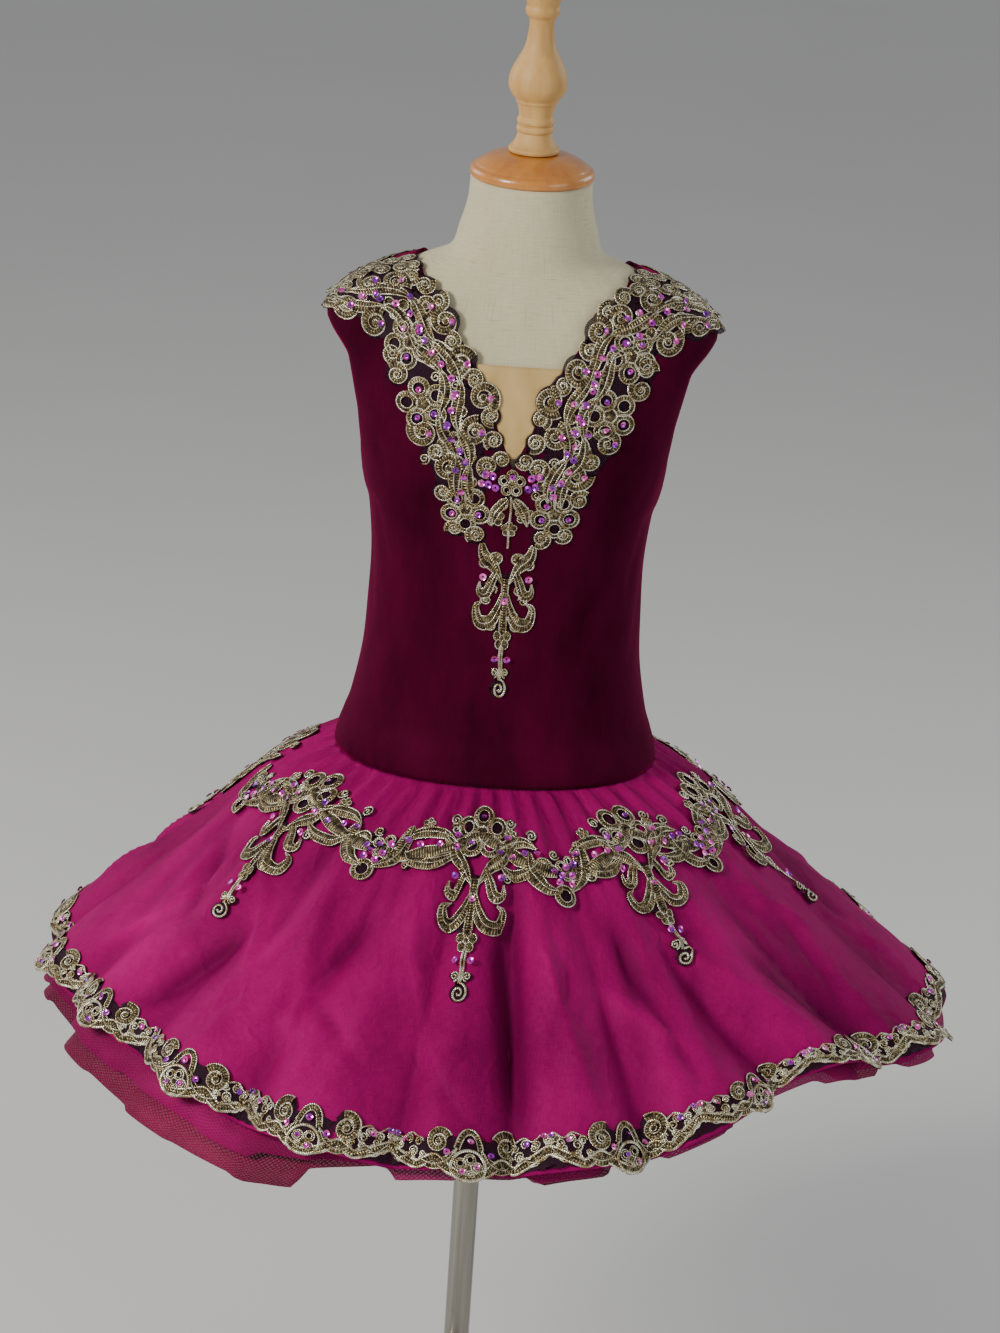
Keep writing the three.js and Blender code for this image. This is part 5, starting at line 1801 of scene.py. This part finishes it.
def read_grid(table, row, column):
    """A table read between its rows and columns."""
    row = np.clip(row, 0, table.shape[0] - 1 - TINY)
    column = np.clip(column, 0, table.shape[1] - 1 - TINY)
    r, c = np.floor(row).astype(int), np.floor(column).astype(int)
    f, g = row - r, column - c
    near = table[r, c] * (1 - g) + table[r, c + 1] * g
    far = table[r + 1, c] * (1 - g) + table[r + 1, c + 1] * g
    return near * (1 - f) + far * f


def torso_view(at_back):
    """The torso's front or back laid flat: across by down, where down is minus the height up to
    the shoulder and then the way over it. Past the shoulder's tip it hangs out a little."""
    edge = 0.93

    def surface(across, down):
        across, down = np.broadcast_arrays(np.asarray(across, float), np.asarray(down, float))
        height = -down
        wide = np.abs(across)
        half, front, back, square = torso_cut(height)
        depth = back if at_back else front
        near = np.minimum(wide, half * edge)
        share = 1 - (near / half) ** square
        deep = -depth * share ** (1 / square) + 1.2 * (wide - near)
        row = np.minimum(wide, SHOULDER_REACH) / OVER_PITCH
        way = height - np.interp(wide, OVER_ACROSS, OVER_START)
        over = way > 0
        over_deep = read_grid(OVER_DEPTHS[at_back], row, way)
        over_high = read_grid(OVER_HEIGHTS[at_back], row, way)
        past_tip = np.maximum(wide - SHOULDER_REACH, 0)
        deep = np.where(over, over_deep, deep)
        high = np.where(over, over_high - 0.7 * past_tip, height)
        return np.stack([across, -deep if at_back else deep, high], -1)

    return surface


def strip_path(rows, side, fine):
    """A strip's path on one side, laid flat, and its half width along it."""
    rows = np.array(rows, float)
    path = curve_through(rows[:, :2] * [side, -1], fine)
    return path, read_smooth(rows[:, 2:], np.linspace(0, len(rows) - 1, len(path)))[:, 0]


FILL_PITCH = 8.2


def fill_strip(made, strip, side, lobes):
    """Small curls, petals and sequins in rows along a strip, wherever no lobe lies."""
    path, wide = strip_path(strip, side, 12)
    made.ground.append((path, wide * 0.72))
    gone = length_along(path)
    across = flat_sides(path)
    for number, place in enumerate(np.arange(FILL_PITCH / 2, gone[-1], FILL_PITCH)):
        k = int(np.searchsorted(gone, place))
        lanes = max(int(2 * wide[k] / FILL_PITCH), 1)
        for lane in range(lanes):
            offset = (lane + 0.5 + 0.35 * (number % 2)) / lanes * 2 - 1
            x, y = path[k] + across[k] * wide[k] * 0.8 * offset + chance.uniform(-0.8, 0.8, 2)
            if min(np.hypot(x - side * a, y + z) - r for a, z, r in lobes) < 1.0:
                continue
            kind = (number + lane) % 3
            if kind == 0:
                made.petal((x, y), 3.6, 1.2, 0.55, False)
            elif kind == 1:
                made.add(curl(3.9, 70 * number, side), x, y)
            else:
                made.add(curl(3.0, 40 * lane, -side), x, y)
                made.sequin(x, y, 2.3)


def add_lobes(made, lobes, side, sequins):
    """Large lobes are flowers, and the others scrolls. The middling ones have a sequin."""
    for number, (x, z, radius) in enumerate(lobes):
        if radius > 14:
            made.add(rosette(radius, 5, number * 31, sequins), side * x, -z)
        elif radius > 9.5:
            made.add(scroll(radius, number * 77, side), side * x, -z)
            made.sequin(side * x + radius * 0.4, -z, 2.3)
        else:
            made.add(scroll(radius * 0.96, number * 50, -side), side * x, -z)


def neck_lace(side):
    """One side's lobes and two rows of leaves, with small curls and sequins between them."""
    made = Lace()
    path, wide = strip_path(NECK_BAND, side, 8)
    wave = np.sin(np.linspace(0, 7 * np.pi, len(path)))
    across = flat_sides(path)
    lobes = NECK_LOBES + EDGE_LOBES
    fill_strip(made, NECK_STRIP, side, lobes)
    for shift in (-0.6, 0.6):
        moved = path + across * (wide * shift * (1 + 0.6 * wave * np.sign(shift)))[:, None]
        for first in range(0 if shift > 0 else 3, len(path) - 6, 9):
            run = moved[first : first + 11]
            made.band(run, leaf_half(len(run), 4.0))
            made.cord(run, 0.4, 2.0)
    for number in range(0, len(path) - 3, 3):
        made.sequin(*(path[number + 2] + across[number] * 3 * wave[number]), 2.5)
    add_lobes(made, lobes, side, (0, 2, 3))
    return made


def back_lace():
    """Both sides' lobes along the back neck edge, with a band and small curls between them."""
    made = Lace()
    lobes = BACK_LOBES + BACK_EDGE_LOBES
    for side in (1, -1):
        path, _ = strip_path(BACK_BAND, side, 8)
        fill_strip(made, BACK_STRIP, side, lobes)
        made.band(path, 3.2)
        for number in range(0, len(path) - 3, 4):
            made.sequin(*(path[number + 2] + [0, 4 * (-1) ** number]), 2.5)
        add_lobes(made, [row for row in lobes if row[0] or side > 0], side, (0, 2))
    return made


PENDANT_TOP = 791
PENDANT_LONG = 125


def pendant_lace():
    """The drop below the V and the small flower at its head."""
    made = Lace()
    made.add(drop(PENDANT_LONG, 0.7), 0, -PENDANT_TOP)
    made.add(rosette(9.5, 5, 0, (0,)), 0, -827)
    made.add(leaf([(-2, -816), (-10, -806), (-12, -796)], 3.4))
    made.add(leaf([(2, -816), (9, -808), (12, -797)], 3.4))
    made.cord([(0, -818), (0.6, -808), (0, -796), (0, -780)], 0.9)
    made.add(sprig(6.5), -10, -802)
    made.add(sprig(6.5), 10, -805)
    made.add(sprig(5.5), 0, -794)
    for side in (1, -1):
        made.petal((side * 7.5, -772), 4.4, 1.4, 0.55, False)
        made.petal((side * 15, -768), 3.6, 1.3, 0.5, False)
        made.add(curl(4.0, 40, side), side * 9.5, -749)
        made.add(curl(3.6, 200, side), side * 12.5, -741)
        made.add(curl(3.8, 120, side), side * 7.0, -730)
        made.petal((side * 8.5, -722), 3.4, 1.3, 0.5, False)
    for side in (1, -1):
        made.add(curl(4.4, 90, side), side * 6, -812)
        for x, y in ((13, -832), (16, -826), (11, -824), (18, -833)):
            made.sequin(side * x, y, 2.7)
    return made


# What lace lies on: its flat view, which way that turns out, millimetres off it, its sheet.
ON_FRONT = (torso_view(False), -1, BODICE_FACE, "velvet_front")
ON_BACK = (torso_view(True), 1, BODICE_FACE, "velvet_back")
for side, where in ((-1, "left"), (1, "right")):
    lay_lace("neck_lace_" + where, neck_lace(side), ON_FRONT, "lace_neck_" + where)
lay_lace("pendant_lace", pendant_lace(), ON_FRONT, "lace_pendant")
lay_lace("back_neck_lace", back_lace(), ON_BACK, "lace_neck_back")


def skirt_view(across, down):
    """The overskirt seen flat: FLAT_SCALE to a degree by millimetres down. Lace lies over the
    finest gathers, so it follows the bell, its billows and its creases alone."""
    turn = across / FLAT_SCALE
    share = down / SLANT
    return bell_point(turn, share, ripple=-skirt_creases(turn, share))


GARLAND_ON = (skirt_view, -1, 1.6, "overskirt")
HEM_ON = (skirt_view, -1, 1.0, "overskirt")
GARLAND_FLAT = (0.46, 0.145)
HEM_FLAT = (1.02, 0.04)
CUT_GAP = 0.1

# The skirt's lace is cut at the sides: which part, from and to which turn, the garland's area
# and the hem trim's in square metres.
SKIRT_LACE = [
    ("front", LEFT_CUT, RIGHT_CUT, 0.0228, 0.0243),
    ("back", RIGHT_CUT, 360 + LEFT_CUT, 0.0205, 0.0198),
]
for where, start, end, garland_area, hem_area in SKIRT_LACE:
    limits = (start * FLAT_SCALE + CUT_GAP, end * FLAT_SCALE - CUT_GAP)
    for name, solid, drawing, cloth, flat, area in (
        ("garland_", "lace_garland_", garland, GARLAND_ON, GARLAND_FLAT, garland_area),
        ("hem_lace_", "lace_hem_", hem_lace, HEM_ON, HEM_FLAT, hem_area),
    ):
        lay_lace(name + where, drawing(start, end), cloth, solid + where, limits)

# The room: a pale floor, soft light and the camera, in metres.
FLOOR = 16.0
floor_mesh = bpy.data.meshes.new("floor")
floor_corners = [(-FLOOR, -FLOOR, 0), (FLOOR, -FLOOR, 0), (FLOOR, FLOOR, 0), (-FLOOR, FLOOR, 0)]
floor_mesh.from_pydata(floor_corners, [], [(0, 1, 2, 3)])
floor = bpy.data.objects.new("floor", floor_mesh)
bpy.context.scene.collection.objects.link(floor)
floor_dye = Dye("floor")
speckle = floor_dye.noise(floor_dye.object_place(3, 3, 3), 3.0)
floor_base = floor_dye.mix(speckle, (0.66, 0.655, 0.64), (0.70, 0.695, 0.68))
floor_mesh.materials.append(floor_dye.finish(base=floor_base, rough=0.8))


LIGHT_AIM = Vector((0, 0, 0.7))
# Lights: name, place, size in metres, power in watts, colour.
LIGHTS = [
    ("key", (-2.3, -2.0, 2.3), 0.9, 100, (1.0, 0.97, 0.93)),
    ("fill", (2.2, -1.9, 1.3), 1.8, 22, (0.93, 0.96, 1.0)),
    ("rim_left", (-1.9, 1.2, 1.5), 1.2, 14, (1.0, 0.98, 0.96)),
    ("rim_right", (1.9, 1.3, 1.6), 1.2, 14, (0.96, 0.98, 1.0)),
]


def soft_light(name, place, size, power, colour):
    """A square soft light that looks at the dress."""
    lamp = bpy.data.lights.new(name, "AREA")
    lamp.size = size
    lamp.energy = power
    lamp.color = colour
    lit = bpy.data.objects.new(name, lamp)
    lit.location = place
    lit.rotation_euler = (LIGHT_AIM - Vector(place)).to_track_quat("-Z", "Y").to_euler()
    bpy.context.scene.collection.objects.link(lit)


for light in LIGHTS:
    soft_light(*light)
world = bpy.data.worlds.new("room")
world.use_nodes = True
backdrop = world.node_tree.nodes["Background"].inputs
backdrop["Color"].default_value = (0.86, 0.88, 0.9, 1)
backdrop["Strength"].default_value = 0.38
bpy.context.scene.world = world

# The camera fitted to the photo: place, degrees that it looks down and is rolled, and its lens
# and sensor height in millimetres.
CAMERA_PLACE = (0.0, -3.473, 1.895)
CAMERA_PITCH = 19.5
CAMERA_ROLL = 3.74
CAMERA_LENS = 140.5
SENSOR_HIGH = 36

camera_data = bpy.data.cameras.new("camera")
camera_data.sensor_fit = "VERTICAL"
camera_data.sensor_height = SENSOR_HIGH
camera_data.lens = CAMERA_LENS
camera = bpy.data.objects.new("camera", camera_data)
tilt = Matrix.Rotation((90 - CAMERA_PITCH) * DEGREE, 4, "X")
roll = Matrix.Rotation(CAMERA_ROLL * DEGREE, 4, "Z")
camera.matrix_world = Matrix.Translation(CAMERA_PLACE) @ tilt @ roll
bpy.context.scene.collection.objects.link(camera)
bpy.context.scene.camera = camera
